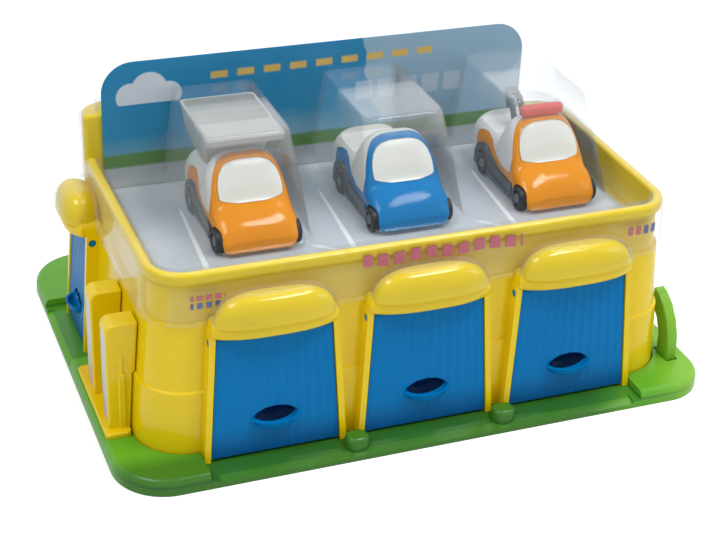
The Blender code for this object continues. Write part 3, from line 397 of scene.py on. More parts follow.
def roundedRectangle(x0, x1, y0, y1, radius, steps=12):
    # One radius, or four in the order right front, right back, left back, left front.
    radii = radius if isinstance(radius, tuple) else (radius,) * 4
    corners = ((x1, y0, -90), (x1, y1, 0), (x0, y1, 90), (x0, y0, 180))
    points = []
    for (cx, cy, start), r in zip(corners, radii):
        centreX = cx - math.copysign(r, cx - (x0 + x1) / 2)
        centreY = cy - math.copysign(r, cy - (y0 + y1) / 2)
        points += arc(centreX, centreY, r, start, 90, steps)
    return points


def roundedTop(x0, x1, top, radius, inset, steps):
    # Points over the top of an upright card or pocket, from right to left.
    points = []
    for cx, start in ((x1 - radius, 0), (x0 + radius, 90)):
        points += arc(cx, top - radius, radius - inset, start, 90, steps)
    return points


def flatRing(outline, z):
    return [(x, y, z) for x, y in outline]


def roundedBlock(x, y, z, radius, edge, steps=10, name="tool"):
    # Block with rounded upright corners and a rounded top edge.
    levels = [(0, z[0])] + [(edge - c, z[1] - edge + s) for c, s in arc(0, 0, edge, 0, 90, 5)]
    rings = []
    for inset, height in levels:
        sides = (x[0] + inset, x[1] - inset, y[0] + inset, y[1] - inset)
        rings.append(flatRing(roundedRectangle(*sides, max(radius - inset, 0.0002), steps), height))
    return loft(rings, name)


def turned(profile, sides, name="tool"):
    # Solid of revolution along x: profile points are (radius, distance along it).
    return loft([[(x, u, v) for u, v in arc(0, 0, r, 0, 360, sides)[:-1]] for r, x in profile], name)


def rod(radius, half, sides):
    return turned([(radius, -half), (radius, half)], sides)


def curve(points, steps=4):
    # Catmull-Rom curve through rows of numbers.
    rows = [points[0], *points, points[-1]]
    made = []
    for a, b, c, d in zip(rows, rows[1:], rows[2:], rows[3:]):
        for k in range(steps):
            t = k / steps
            made.append(tuple(
                0.5 * (2 * q + (r - p) * t + (2 * p - 5 * q + 4 * r - s) * t * t)
                + 0.5 * (3 * q - p - 3 * r + s) * t ** 3
                for p, q, r, s in zip(a, b, c, d)
            ))
    return made + [tuple(points[-1])]


def move(made, matrix):
    made.data.transform(matrix)
    return made


def applyModifiers(made):
    graph = bpy.context.evaluated_depsgraph_get()
    graph.update()
    mesh = bpy.data.meshes.new_from_object(made.evaluated_get(graph))
    made.modifiers.clear()
    old = made.data
    made.data = mesh
    bpy.data.meshes.remove(old)
    return made


def combine(made, tools, operation):
    for tool in tools:
        modifier = made.modifiers.new(operation.lower(), "BOOLEAN")
        modifier.operation = operation
        modifier.solver = "MANIFOLD"
        modifier.object = tool
    bpy.context.view_layer.update()
    applyModifiers(made)
    for tool in tools:
        bpy.data.objects.remove(tool, do_unlink=True)
    return made


def cut(made, *tools):
    return combine(made, tools, "DIFFERENCE")


def join(made, *tools):
    return combine(made, tools, "UNION")


def keep(made, tool):
    return combine(made, [tool], "INTERSECT")


def roundEdges(made, width, segments, angle):
    bevel = made.modifiers.new("edge", "BEVEL")
    bevel.width = width
    bevel.segments = segments
    bevel.limit_method = "ANGLE"
    bevel.angle_limit = math.radians(angle)
    return applyModifiers(made)


def dress(made, look, body, angle=32):
    # Moved to the final frame, with its finish and the body it moves with.
    move(made, at(0, shiftY, 0))
    paint(made, look, angle)
    weighted = made.modifiers.new("weighted", "WEIGHTED_NORMAL")
    weighted.keep_sharp = True
    applyModifiers(made)
    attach(made, body)
    return made


def standFor(made, node, look, angle=32):
    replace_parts(dress(made, look, bodyOf[node], angle), node)


bay = Sizes(
    doorTopZ=0.0924, doorBottomZ=0.0087, doorTopHalf=0.038, doorBottomHalf=0.0431, postWidth=0.0176,
    sideTopHalf=0.022, sideBottomHalf=0.025, sideDoorY=0.0745, sideReach=1.22, doorFace=0.008,
    doorThick=0.0024, barrelR=0.003, pinR=0.0024, jamb=0.0045, hoodOver=0.0035, hoodRise=0.018,
    hoodY=-0.0082, hoodReach=0.0105, hoodEnd=0.0053, lipReach=0.017, plank=0.0072, handleZ=0.0305,
    handleHalf=0.0165, sideHandleHalf=0.0125,
)
tray = Sizes(
    rimHalfX=0.18, rimFront=0.09065, rimBack=0.093, cornerR=0.0255, rimLeftBackR=0.0121,
    bodyBack=0.108, bodyFoot=0.0068, wall=0.0025, wallFoot=0.008, stepZ=0.0546,
    wallTop=bay.doorTopZ + 0.0088, deckThick=0.0025,
)
tray["bandZ"] = tray.stepZ + 0.001
tray["neckZ"] = tray.wallTop + 0.0006
tray["deckTop"] = tray.wallTop + 0.01
tray["ledgeZ"] = tray.deckTop + 0.0068
tray["rimTop"] = tray.deckTop + 0.0258
bay["hoodFoot"] = tray.wallTop + 0.0023
bay["lipTop"] = bay.hoodFoot + 0.0017
bay["doorPitch"] = 2 * bay.doorBottomHalf + bay.postWidth
bay["doorLean"] = 0.0058 / (bay.doorTopZ - bay.doorBottomZ)
bay["pinZ"] = bay.doorTopZ - 0.0019
bay["pinY"] = -(bay.doorFace + (bay.doorTopZ - bay.pinZ) * bay.doorLean) + bay.barrelR
parapet = Sizes(x=(-0.18, 0.14), front=0.0832, top=tray.rimTop + 0.031, frontR=0.003, backR=0.0185)

# Front bays stand at y = -rimFront and the side bay at x = -rimHalfX. Bay coordinates have the
# rim line at y = 0, outward along -Y, and the bay centre at x = 0.
frontBay = (bay.doorTopHalf, bay.doorBottomHalf, 1.0)
bays = [
    (f"front_door_{i + 1}", at((i - 1) * bay.doorPitch, -tray.rimFront, 0), *frontBay) for i in range(3)
]
sidePlace = at(-tray.rimHalfX, bay.sideDoorY, 0) @ Matrix.Rotation(-math.pi / 2, 4, "Z")
bays.append(("side_door", sidePlace, bay.sideTopHalf, bay.sideBottomHalf, bay.sideReach))


def flare(z):
    # How far the wall stands outside the rim line at a height.
    levels = (
        (0.0, tray.wallFoot), (tray.stepZ, 0.005), (tray.bandZ, 0.0033), (tray.wallTop, -0.0001),
        (tray.neckZ, -0.0026), (tray.neckZ + 0.0242, -0.0034), (1.0, -0.0034),
    )
    for (z0, e0), (z1, e1) in zip(levels, levels[1:]):
        if z <= z1:
            return e0 + (e1 - e0) * (z - z0) / (z1 - z0)


def wallRing(offset, z, back, leftBackR=tray.cornerR):
    x, r = tray.rimHalfX + offset, tray.cornerR + offset
    radii = (r, r, leftBackR + offset, r)
    return flatRing(roundedRectangle(-x, x, -tray.rimFront - offset, back + offset, radii, 16), z)


def parapetPlan(grow, front, far=None):
    near = parapet.frontR
    far = far or parapet.backR + grow
    x0, x1 = parapet.x
    back = tray.bodyBack - 0.0004 + grow
    return roundedRectangle(x0 - grow, x1 + grow, front, back, (near, far, far, near))


def doorFace(z):
    return -bay.doorFace - (bay.doorTopZ - z) * bay.doorLean


def doorHalf(z, topHalf, bottomHalf):
    share = (bay.doorTopZ - z) / (bay.doorTopZ - bay.doorBottomZ)
    return topHalf + (bottomHalf - topHalf) * share


def leaningBlock(grow, front, back, z, halves, wallBack=None):
    # Trapezoid block as wide as the door plus grow. Front and back follow the door's leaning face,
    # or the back is a vertical plane inside the wall.
    rings = []
    for height in z:
        w = doorHalf(height, *halves) + grow
        near = doorFace(height) + front
        far = doorFace(height) + back if wallBack is None else wallBack
        rings.append([(-w, near, height), (w, near, height), (w, far, height), (-w, far, height)])
    return loft(rings)


def hoodLip(half, reach):
    corner = -0.01 * reach
    bow = -(bay.lipReach - 0.01) * reach
    steps = 40
    rings = []
    for k in range(-6, 7):
        a = math.radians(90 * k / 6)
        deep, tall = (0.003, 0.0046) if k > 0 else (0.0016, 0.006)
        inset = deep * (1 - math.cos(a))
        w = half - inset
        outline = [(-w, 0.0012)]
        for t in (-1 + 2 * k / steps for k in range(steps + 1)):
            outline.append((t * w, corner + bow * (1 - abs(t) ** 3) + inset))
        outline.append((w, 0.0012))
        rings.append(flatRing(outline, bay.lipTop - 0.0046 + tall * math.sin(a)))
    return loft(rings)


def pillow(half, reach, grow, foot, tail, end=bay.hoodEnd, points=72, rows=14):
    # Puffed hood over a bay, reaching into the wall as far as its end.
    rings = []
    rise = bay.hoodRise + grow + bay.hoodFoot - foot
    for row in range(rows + 1):
        a = 0.5 * math.pi * row / rows
        scale = max(max(math.cos(a), 0.0) ** 0.75, 0.1)
        back = (end - bay.hoodY * reach) * (tail + (1 - tail) * scale) + grow
        front = (bay.hoodReach * reach + grow) * scale
        ring = []
        for c, s in arc(0, 0, 1, 0, 360, points)[:-1]:
            x = signed(c, 0.72) * (half + grow) * (0.35 + 0.65 * scale)
            y = signed(s, 0.9) * (front if s < 0 else back)
            ring.append((x, bay.hoodY * reach + y, foot + rise * math.sin(a)))
        rings.append(ring)
    return loft(rings)


def bayAdders(matrix, topHalf, bottomHalf, reach):
    hoodHalf = topHalf + bay.hoodOver
    heights = (tray.bodyFoot, tray.wallTop - 0.0002)
    adders = (
        leaningBlock(bay.jamb, -0.001, None, heights, (topHalf, bottomHalf), 0.0015),
        hoodLip(hoodHalf, reach),
        pillow(hoodHalf - 0.002, reach, 0.0, bay.hoodFoot, 0.25),
    )
    return [move(tool, matrix) for tool in adders]


def bayCutters(matrix, topHalf, bottomHalf, reach):
    halves = (topHalf, bottomHalf)
    pinWall = doorHalf(bay.pinZ, *halves) + bay.jamb + 0.003
    barrelHalf = topHalf + 0.0002
    barrelBack = bay.pinY + bay.barrelR + 0.0005
    cutters = (
        leaningBlock(gap + 0.0001, -0.01, bay.doorThick + gap, (0.001, bay.pinZ + 0.0037), halves),
        leaningBlock(-0.0028, -0.01, None, (0.001, bay.doorTopZ - 0.0069), halves, 0.016),
        block((-barrelHalf, -0.01, bay.pinZ - 0.0046), (barrelHalf, barrelBack, bay.pinZ + 0.0036)),
        move(rod(bay.pinR + 0.0003, pinWall, 24), at(0, bay.pinY, bay.pinZ)),
        pillow(topHalf + bay.hoodOver - 0.002, reach, -0.0023, bay.hoodFoot + 0.0008, 0.25, 0.0093, 40, 8),
    )
    return [move(tool, matrix) for tool in cutters]


def buildBody():
    top = tray.rimTop
    heights = (tray.bodyFoot, tray.stepZ, tray.bandZ, tray.wallTop, tray.neckZ, tray.ledgeZ)
    outer = [wallRing(flare(z), z, tray.bodyBack) for z in heights]
    rim = [(-0.0034, tray.ledgeZ + 0.0008), (-0.0034, top - 0.0112), (-0.0031, top - 0.0104)]
    rim += [(-0.002, top - 0.009), (-0.0009, top - 0.0079), (-0.0005, top - 0.007), (-0.0004, top - 0.006)]
    rim += [(-0.0037 + 0.0033 * c, top - 0.0027 + 0.0027 * s) for c, s in arc(0, 0, 1, 0, 180, 12)]
    rim += [(-0.009, tray.deckTop + 0.0016), (-0.0106, tray.deckTop)]
    outer += [wallRing(offset, z, tray.rimBack, tray.rimLeftBackR) for offset, z in rim]
    body = loft(outer, "garageBody")
    inner = []
    for z in (-0.002, tray.stepZ, tray.bandZ + 0.0014, tray.wallTop, tray.deckTop - tray.deckThick):
        thicker = 0.0016 if z >= tray.wallTop else 0.0
        inner.append(wallRing(flare(max(z, 0.0)) - tray.wall - thicker, z, tray.bodyBack))
    hollow = loft(inner)
    edge = ((0.0026, 0), (0.0013, 0.0004), (0.0007, 0.0009), (0.0002, 0.0016), (0, 0.0026))
    levels = [(0, tray.ledgeZ - 0.0028)] + [(inset, parapet.top - drop) for drop, inset in edge]
    join(body, loft([flatRing(parapetPlan(-inset, parapet.front + inset), z) for inset, z in levels]))
    # the parapet's hollow is narrower at the foot, where the wall behind it has a larger corner
    inside = parapet.front + tray.wall
    upperHollow = prism(parapetPlan(-0.0036, inside), tray.ledgeZ, parapet.top - tray.wall)
    footHollow = prism(parapetPlan(-0.0056, inside, 0.0195), tray.deckTop - 0.0212, tray.ledgeZ + 0.001)
    for _, *place in bays:
        for tool in bayAdders(*place):
            join(body, tool)
    cut(body, hollow)
    cut(body, upperHollow, footHollow)
    under = tray.deckTop - 0.0012
    front = -tray.rimFront
    outline = [(0.05, under), (0.05, tray.bodyFoot)]
    for z in (tray.bodyFoot, tray.stepZ, tray.bandZ, tray.wallTop - 0.0032):
        outline.append((front - flare(z) + 0.0012, z))
    outline += [(front + 0.005, tray.neckZ + 0.0002), (front + 0.005, under)]
    for side in (-1, 1):
        x = side * bay.doorPitch / 2
        join(body, prism(outline, x - 0.001, x + 0.001, "x"))
    for _, *place in bays:
        for tool in bayCutters(*place):
            cut(body, tool)
    standFor(body, "garage_body", "yellow", 38)


plate = Sizes(
    halfX=tray.rimHalfX + 0.028, front=0.1235, back=0.1805, rightR=0.03, leftR=0.036, edgeZ=0.007,
    padTop=0.012, driveTop=0.0065, driveR=0.006, frontDriveHalf=0.1523, sideDrive=(0.032, 0.115),
    cutTop=0.02, floor=0.0025, rib=0.0012, bollardTop=0.0148,
)
# All pieces move by this at the end, so that the middle of the base plate stands at y = 0.
shiftY = (plate.front - plate.back) / 2


def driveRoom(*sides):
    return prism(roundedRectangle(*sides, plate.driveR, 8), plate.driveTop, plate.cutTop)


def rampRoom(start, slopeEnd, end, foot, ends, axis):
    # Slopes from the drive's level down to the plate's edge.
    top = plate.cutTop
    outline = [(start, plate.driveTop), (slopeEnd, foot), (end, foot), (end, top), (start, top)]
    return prism(outline, ends[0] + plate.driveR, ends[1] - plate.driveR, axis)


def underPockets():
    # Rooms between the ribs underneath, smaller at the plate's rounded corners.
    endX = plate.halfX - 0.003
    columns = (-endX, -0.13, -0.053, 0.053, 0.13, endX)
    rows = (0.003 - plate.front, -0.06, 0.0, 0.06, 0.12, plate.back - 0.003)
    last = len(columns) - 2
    pockets = []
    for i, (x0, x1) in enumerate(zip(columns, columns[1:])):
        for j, (y0, y1) in enumerate(zip(rows, rows[1:])):
            shrink = 0.0085 if i in (0, last) and j in (0, last) else 0.0
            lowX = x0 + plate.rib + (shrink + 0.004 if i == 0 else 0)
            highX = x1 - plate.rib - (shrink if i == last else 0)
            lowY = y0 + plate.rib + (shrink + 0.008 if j == 0 else 0)
            highY = y1 - plate.rib - (shrink if j == last else 0)
            pockets.append(block((lowX, lowY, -0.002), (highX, highY, plate.driveTop - plate.floor)))
    return pockets


def buildBase():
    rings = []
    levels = [(0.0006, 0.0), (0.0, 0.001)]
    rise = plate.padTop - plate.edgeZ
    levels += [(0.004 * (1 - c), plate.edgeZ + rise * s) for c, s in arc(0, 0, 1, 0, 90, 8)]
    for inset, z in levels:
        sides = (inset - plate.halfX, plate.halfX - inset, inset - plate.front, plate.back - inset)
        radii = (plate.rightR - inset,) * 2 + (plate.leftR - inset,) * 2
        rings.append(flatRing(roundedRectangle(*sides, radii, 16), z))
    base = loft(rings, "basePlate")
    half, front, left = plate.frontDriveHalf, -plate.front, -plate.halfX
    y0, y1 = pump.plinthY
    island = (-pump.outer - pump.plinthLip - 0.001, -tray.rimHalfX, y0 - 0.0006, y1 + 0.0006)
    rooms = (
        loft([wallRing(tray.wallFoot + gap, z, tray.bodyBack) for z in (plate.driveTop, plate.cutTop)]),
        driveRoom(-half, half, front - 0.0365, 0.0106 - tray.rimFront),
        rampRoom(front + 0.0095, front - 0.0065, front - 0.0165, 0.0018, (-half, half), "x"),
        driveRoom(left - 0.02, 0.01 - tray.rimHalfX, *plate.sideDrive),
        rampRoom(left + 0.007, left - 0.0045, left - 0.015, 0.0028, plate.sideDrive, "y"),
        prism(roundedRectangle(*island, 0.005, 10), plate.padTop - 0.001, plate.cutTop),
        block((clip.inner - 0.0006, -0.0935, 0.0098), (clip.outer + 0.0007, -0.074, plate.cutTop)),
    )
    for tool in rooms:
        cut(base, tool)
    cut(base, *underPockets())
    for side in (-1, 1):
        x = side * bay.doorPitch / 2
        ends = (front + 0.003, front + 0.0165)
        join(base, roundedBlock((x - 0.008, x + 0.008), ends, (0.004, plate.bollardTop), 0.0064, 0.003))
    standFor(base, "base_plate", "green", 38)


clip = Sizes(inner=tray.rimHalfX + tray.wallFoot + 0.0008)
clip["outer"] = clip.inner + 0.008


def buildClip():
    profile = [(-0.064, 0.0562), (-0.0705, 0.0545), (-0.079, 0.049), (-0.086, 0.04), (-0.0905, 0.029)]
    profile += [(-0.0915, 0.02), (-0.0915, 0.0102), (-0.0775, 0.0102), (-0.077, 0.026), (-0.072, 0.036)]
    made = prism(profile + [(-0.064, 0.043)], clip.inner, clip.outer, "x", "sideClip")
    standFor(roundEdges(made, 0.0012, 4, 60), "side_clip", "green", 30)


pump = Sizes(
    outer=tray.rimHalfX + 0.0223, top=bay.doorTopZ - 0.0009, topR=0.006, backGap=0.0005, half=0.00825,
    y=(-0.053, -0.011), plinthTop=0.015, plinthLip=0.0032, plinthY=(-0.068, 0.018),
    labelFoot=0.0193, labelHalf=0.0057,
)
pump["labelTop"] = pump.top - 0.0083


def buildPumps():
    # The towers' backs follow the wall.
    sides = (-pump.outer - pump.plinthLip, -tray.rimHalfX - tray.wallFoot - pump.backGap)
    heights = (plate.padTop - 0.0007, pump.plinthTop)
    island = roundedBlock(sides, pump.plinthY, heights, 0.004, 0.001, name="pumpIsland")
    outline = [(-pump.outer, plate.padTop)]
    outline += arc(pump.topR - pump.outer, pump.top - pump.topR, pump.topR, 180, -90, 12)
    for z in (pump.top, tray.bandZ + 0.0004, tray.stepZ + 0.0001, plate.padTop):
        outline.append((-tray.rimHalfX - flare(z) - pump.backGap, z))
    nozzle = (
        ((0.0068, 0.0118), (-0.0014, 0.002), (0.014, 0.056), 0.0012, 0.001),
        ((0.0081, 0.0105), (-0.0012, 0.0018), (0.054, 0.068), 0.001, 0.0009),
    )
    for y in pump.y:
        tower = roundEdges(prism(outline, y - pump.half, y + pump.half, "y"), 0.0016, 4, 50)
        half = pump.labelHalf + gap
        low = (-pump.outer - 0.003, y - half, pump.labelFoot - gap)
        cut(tower, block(low, (-pump.outer + 0.0008, y + half, pump.labelTop + gap)))
        join(island, tower)
        for row in nozzle:
            join(island, move(roundedBlock(*row, 6), at(-pump.outer, y - pump.half, 0)))
    standFor(island, "pump_island", "yellow", 38)


def lens(wide, tall, front, deep, centre, ahead=0.0, name="tool"):
    # Pointed oval pocket that goes back from the door's face, open along the front.
    depths = [(deep * k / 8, math.sqrt(1 - (k / 8.4) ** 2)) for k in range(9)]
    if ahead:
        depths.insert(0, (-ahead, 1.0))
    rings = []
    for along, scale in depths:
        ring = []
        for c, s in arc(0, 0, 1, 0, 360, 48)[:-1]:
            z = centre + signed(s, 1.2) * tall * scale
            ring.append((c * wide * scale, front + along, z))
        rings.append(ring)
    return loft(rings, name)


def buildDoor(name, matrix, topHalf, bottomHalf):
    clear = gap + 0.0001
    steps = 8 * round(2 * bottomHalf / bay.plank)
    rings = []
    for z in (bay.doorBottomZ, bay.pinZ):
        half = doorHalf(z, topHalf, bottomHalf) - clear
        face = doorFace(z)
        ring = []
        for k in range(steps + 1):
            groove = 0.0 if k in (0, steps) else 0.5 + 0.5 * math.cos(math.radians(45 * k))
            ring.append((-half + 2 * half * k / steps, face + 0.0004 * groove, z))
        rings.append(ring + [(half, face + bay.doorThick, z), (-half, face + bay.doorThick, z)])
    door = loft(rings, name.replace("door", "flap"))
    pinHalf = doorHalf(bay.pinZ, topHalf, bottomHalf) + bay.jamb - 0.0003
    for tool in (rod(bay.barrelR, topHalf - clear, 32), rod(bay.pinR, pinHalf, 32)):
        join(door, move(tool, at(0, bay.pinY, bay.pinZ)))
    # finger slot: a scooped cup on the face over a lens-shaped room, with a pocket behind it in dark blue,
    # painted shade for the recess
    wide = bay.sideHandleHalf if name == "side_door" else bay.handleHalf
    face = doorFace(bay.handleZ)
    cupRings = []
    scoopRings = []
    for drop, grow in curve(((-0.008, 0.34), (-0.005, 0.76), (0.0, 1.0)), 5):
        z = bay.handleZ + drop
        bow = [(wide * c * grow, -0.0085 * abs(s) ** 1.15 * grow) for c, s in arc(0, 0, 1, 0, 180, 32)]
        ends = [(side * wide * grow, face + 0.0018, z + 0.002) for side in (-1, 1)]
        cupRings.append([(x, face + 0.0004 + y, z + 0.002) for x, y in bow] + ends)
        scoopRings.append([(x * 0.9, face + 0.0003 + y * 0.84, z + 0.0034) for x, y in bow])
    centre = bay.handleZ + 0.0016
    join(door, cut(loft(cupRings), loft(scoopRings)))
    cut(door, lens(wide * 0.9, 0.0066, face - 0.001, 0.008, centre + 0.0016))
    pocket = lens(wide * 0.96, 0.0092, face + 0.0011, 0.01, centre, name=name.replace("door", "pocket"))
    cut(pocket, lens(wide * 0.89, 0.0083, face + 0.0008, 0.0092, centre, 0.002))
    dress(move(pocket, matrix), "pocketShade", name, 40)
    standFor(move(door, matrix), name, "blue", 30)


card = Sizes(
    x=(-0.168, 0.1435), front=0.0818, thick=0.0006, top=tray.deckTop + 0.0933, topR=0.022, footR=0.004,
)


def buildCards():
    x0, x1 = card.x
    foot = tray.deckTop + gap + 0.0002
    outline = [(x0, foot)] + arc(x1 - card.footR, foot + card.footR, card.footR, -90, 90, 6)
    outline += roundedTop(x0, x1, card.top, card.topR, 0.0, 20)
    made = prism(outline, card.front, card.front + card.thick, "y", "backCard")
    standFor(made, "back_card", "back")


film = Sizes(
    thick=0.0007, off=0.0022, webZ=tray.deckTop + 0.0088, domeTop=tray.deckTop + 0.0728,
    domeX=(-0.0935, 0.0145, 0.122), domeLean=0.002, domeR=0.006, pocketX=(-0.1722, 0.1455),
    pocketTop=card.top + 0.005, pocketR=0.024, pocketGap=0.0016, skirtFoot=tray.wallTop + 0.0008,
)


def stack(rows, radius, steps=8, name="tool"):
    # Loft through rounded rectangles; a row holds the height, then the sides x0, x1, y0 and y1.
    return loft([flatRing(roundedRectangle(*sides, radius, steps), z) for z, *sides in rows], name)


def dome(centre, inset, foot):
    # Drafted dome with a sloping front and soft edges, open into the card pocket.
    top = film.domeTop
    spec = (
        (foot - 0.0008, 0.0368, -0.043, 0.0), (foot + 0.0001, 0.0361, -0.0423, 0.0),
        (foot + 0.0008, 0.0354, -0.0415, 0.0), (foot + 0.002, 0.0349, -0.0402, 0.03),
        (foot + 0.03, 0.0322, -0.0246, 0.45), (top - 0.003, 0.0292, -0.0048, 0.95),
        (top - 0.0021, 0.029, -0.0042, 0.96), (top - 0.0012, 0.0286, -0.0034, 0.97),
        (top - 0.0004, 0.0281, -0.0022, 0.99), (top, 0.0274, -0.0008, 1.0),
    )
    rows = []
    for z, half, front, lean in spec:
        middle = centre + film.domeLean * lean
        height = z - (inset if z > foot + 0.001 else 0)
        rows.append((height, middle - half + inset, middle + half - inset, front + inset, card.front - inset))
    return stack(rows, film.domeR - inset)


def coverSolid(inset):
    # The cover's outer form, or with an inset its inner form.
    rimZ = tray.rimTop + gap + 0.0009
    grow = 0.0016 - inset
    back = tray.bodyBack + 0.0012
    rings = [wallRing(grow + 0.0014, film.skirtFoot - (0.004 if inset else 0.0), back, parapet.backR)]
    for c, s in arc(0, 0, 1, 0, 90, 6):
        drop = 0.0022 * (1 - s) + inset * s
        rings.append(wallRing(grow - 0.0032 * (1 - c), rimZ - drop, back, parapet.backR))
    solid = loft(rings, "filmCover")
    for _, matrix, topHalf, _, reach in bays:
        hoodHalf = topHalf + bay.hoodOver - 0.002
        join(solid, move(pillow(hoodHalf, reach, film.off - inset, bay.hoodFoot - 2 * inset, 1.0), matrix))
    pocketFront = card.front - film.pocketGap + inset
    levels = (
        (0.0, tray.deckTop + 0.0023 + inset), (0.0, parapet.top - 0.0025),
        (0.003, parapet.top + 0.0032 - inset),
    )
    overWall = loft([flatRing(parapetPlan(0.0022 - inset - shrink, pocketFront), z) for shrink, z in levels])
    x0, x1 = film.pocketX
    foot = tray.deckTop + 0.0008
    outline = [(x0 + inset, foot), (x1 - inset, foot)]
    outline += roundedTop(x0, x1, film.pocketTop, film.pocketR, inset, 16)
    join(solid, overWall, prism(outline, pocketFront, card.front + 0.004 - inset, "y"))
    web = film.webZ - inset
    rows = []
    wallRows = ((-0.0126, web), (-0.011, web + 0.0012), (-0.0092, rimZ - 0.003), (-0.006, rimZ + 0.004))
    for offset, z in wallRows:
        x = tray.rimHalfX + offset + inset
        rows.append((z, -x, x, -tray.rimFront - offset - inset, pocketFront))
    r = 0.015 + inset
    cut(solid, stack(rows, (r, r, 0.004 + inset, r), 12))
    return join(solid, *(dome(x, inset, web) for x in film.domeX))


def buildCover():
    cover = coverSolid(0.0)
    for _, matrix, topHalf, *_ in bays:
        half = topHalf + bay.hoodOver + 0.0008
        lipRoom = block((-half, -0.03, film.skirtFoot - 0.01), (half, 0.0035, bay.lipTop + 0.0006))
        cut(cover, move(lipRoom, matrix))
    cut(cover, coverSolid(film.thick))
    standFor(cover, "film_cover", "film", 34)


# Car coordinates: the nose points to -Y, the middle is at x = 0 and the ground at z = 0.
car = Sizes(
    tyreR=0.0082, tyreHalf=0.00375, track=0.0256, axleY=(-0.025, 0.033), boreR=0.0016, archR=0.0096,
    foot=0.0034, screenHalf=0.0215, screenZ=(0.0295, 0.0526), screenBack=0.0008, tubFloor=0.0314,
)
cars = (
    ("truck", "orange", "white", -0.0927), ("coupe", "carBlue", "cream", 0.0142),
    ("tow", "orange", "white", 0.1225),
)
# Sections along the car: y, half width, top and the height of the widest place
stations = (
    (-0.037, 0.0222, 0.0102, 0.007), (-0.0352, 0.025, 0.0142, 0.0088),
    (-0.0315, 0.0266, 0.0192, 0.012), (-0.0235, 0.0274, 0.0254, 0.016),
    (-0.016, 0.0276, 0.0296, 0.017), (-0.0112, 0.0275, 0.0396, 0.018),
    (-0.0055, 0.0273, 0.049, 0.019), (0.0, 0.0271, 0.0538, 0.019), (0.0065, 0.0269, 0.0558, 0.019),
    (0.013, 0.0266, 0.054, 0.019), (0.019, 0.0263, 0.0385, 0.018),
    (0.058, 0.025, 0.0368, 0.0178), (0.0625, 0.021, 0.0308, 0.016),
)
# Side outlines in y and z: over the slate sill, over the coloured strip, and behind the screen frame
panelTop = (
    (0.0468, 0.012), (0.043, 0.0192), (0.0372, 0.0222), (0.029, 0.0222), (0.0215, 0.0185),
    (0.009, 0.014), (-0.008, 0.0128), (-0.0135, 0.014),
)
stripTop = (
    (-0.0096, 0.0194), (0.004, 0.0188), (0.0175, 0.023), (0.0275, 0.0282), (0.036, 0.03),
    (0.044, 0.0288), (0.0495, 0.0262),
)
frameBack = ((-0.009, 0.03), (-0.002, 0.042), (0.004, 0.051), (0.0075, 0.07))


def section(y, half, top, foot, zWide, steps=16):
    # Closed car body section at y: flat foot, sides widest at zWide, rounded over the top.
    right = [(half * 0.93, y, foot)]
    for k in range(steps):
        a = math.radians(-12 + 94 * k / (steps - 1))
        c = max(math.cos(a), 0.0) ** 0.6
        s = signed(math.sin(a), 0.88)
        reach = top - zWide if s > 0 else zWide - foot
        right.append((half * c, y, zWide + reach * s))
    return right + [(-x, y, z) for x, _, z in reversed(right)]


def settled(rows, steps=4):
    # Rows of numbers between the given ones, each rising or falling without overshoot.
    columns = list(zip(*rows))
    along = columns[0]
    slopes = []
    for column in columns:
        steep = [(b - a) / (d - c) for a, b, c, d in zip(column, column[1:], along, along[1:])]
        slope = [steep[0]]
        for low, high in zip(steep, steep[1:]):
            slope.append(2 * low * high / (low + high) if low * high > 0 else 0.0)
        slopes.append(slope + [steep[-1]])
    made = []
    for i in range(len(rows) - 1):
        length = along[i + 1] - along[i]
        for k in range(steps):
            t = k / steps
            made.append(tuple(
                column[i] * (1 + 2 * t) * (1 - t) ** 2 + column[i + 1] * t * t * (3 - 2 * t)
                + length * (slope[i] * t * (1 - t) ** 2 + slope[i + 1] * t * t * (t - 1))
                for column, slope in zip(columns, slopes)
            ))
    return made + [tuple(rows[-1])]


def hull(grow=0.0, name="tool"):
    # Whole car form: blunt nose, sloping screen, round roof and low tail.
    rings = []
    for y, half, top, zWide in settled(stations):
        rings.append(section(y, half + grow, top + grow, car.foot, zWide))
    for end, sign in ((0, -1), (-1, 1)):
        rings[end] = [(x, y + sign * grow, z) for x, y, z in rings[end]]
    return loft(rings, name)


def hullCore(shrink):
    core = move(hull(shrink), at(0, 0, -0.0006))
    return join(core, block((-0.023, -0.033, -0.004), (0.023, 0.057, 0.012)))


def shellZone():
    # Side outline of the coloured shell: the nose, the screen frame and the strip over the sill.
    low = [(y, z + gap) for y, z in panelTop]
    low[0] = (0.0495, low[0][1])
    low[-1] = (-0.0138, low[-1][1])
    outline = [(-0.06, -0.01), (-0.0138, -0.01), *low[::-1], *stripTop[::-1], *frameBack, (-0.06, 0.07)]
    return prism(outline, -0.05, 0.05, "x")


def sidePrism(outline, side, inner, outer):
    return prism(outline, *sorted((side * inner, side * outer)), "x")


def wheelArches():
    tools = []
    for y in car.axleY:
        for side in (-1, 1):
            low, high = sorted((side * 0.0206, side * 0.04))
            tools.append(move(turned([(car.archR, low), (car.archR, high)], 36), at(0, y, car.tyreR)))
    return tools


def windowOutline(grow):
    # Windscreen outline seen from the front, rounded over the top.
    half = car.screenHalf + grow
    low, high = car.screenZ[0] - grow, car.screenZ[1] + grow
    right = [(0.45, -0.02), (0.93, 0.04), (1.0, 0.18), (0.98, 0.45), (0.87, 0.72), (0.64, 0.92), (0.32, 1.0)]
    points = [(x * half, low + (high - low) * t) for x, t in curve(right)]
    return points + [(-x, z) for x, z in points[::-1]]


def buildShell(name):
    shell = keep(hull(name=name), shellZone())
    cut(shell, hullCore(-0.0022))
    cut(shell, *wheelArches())
    cut(shell, prism(windowOutline(gap), -0.06, car.screenBack + 0.002, "y"))
    return roundEdges(shell, 0.0004, 2, 40)


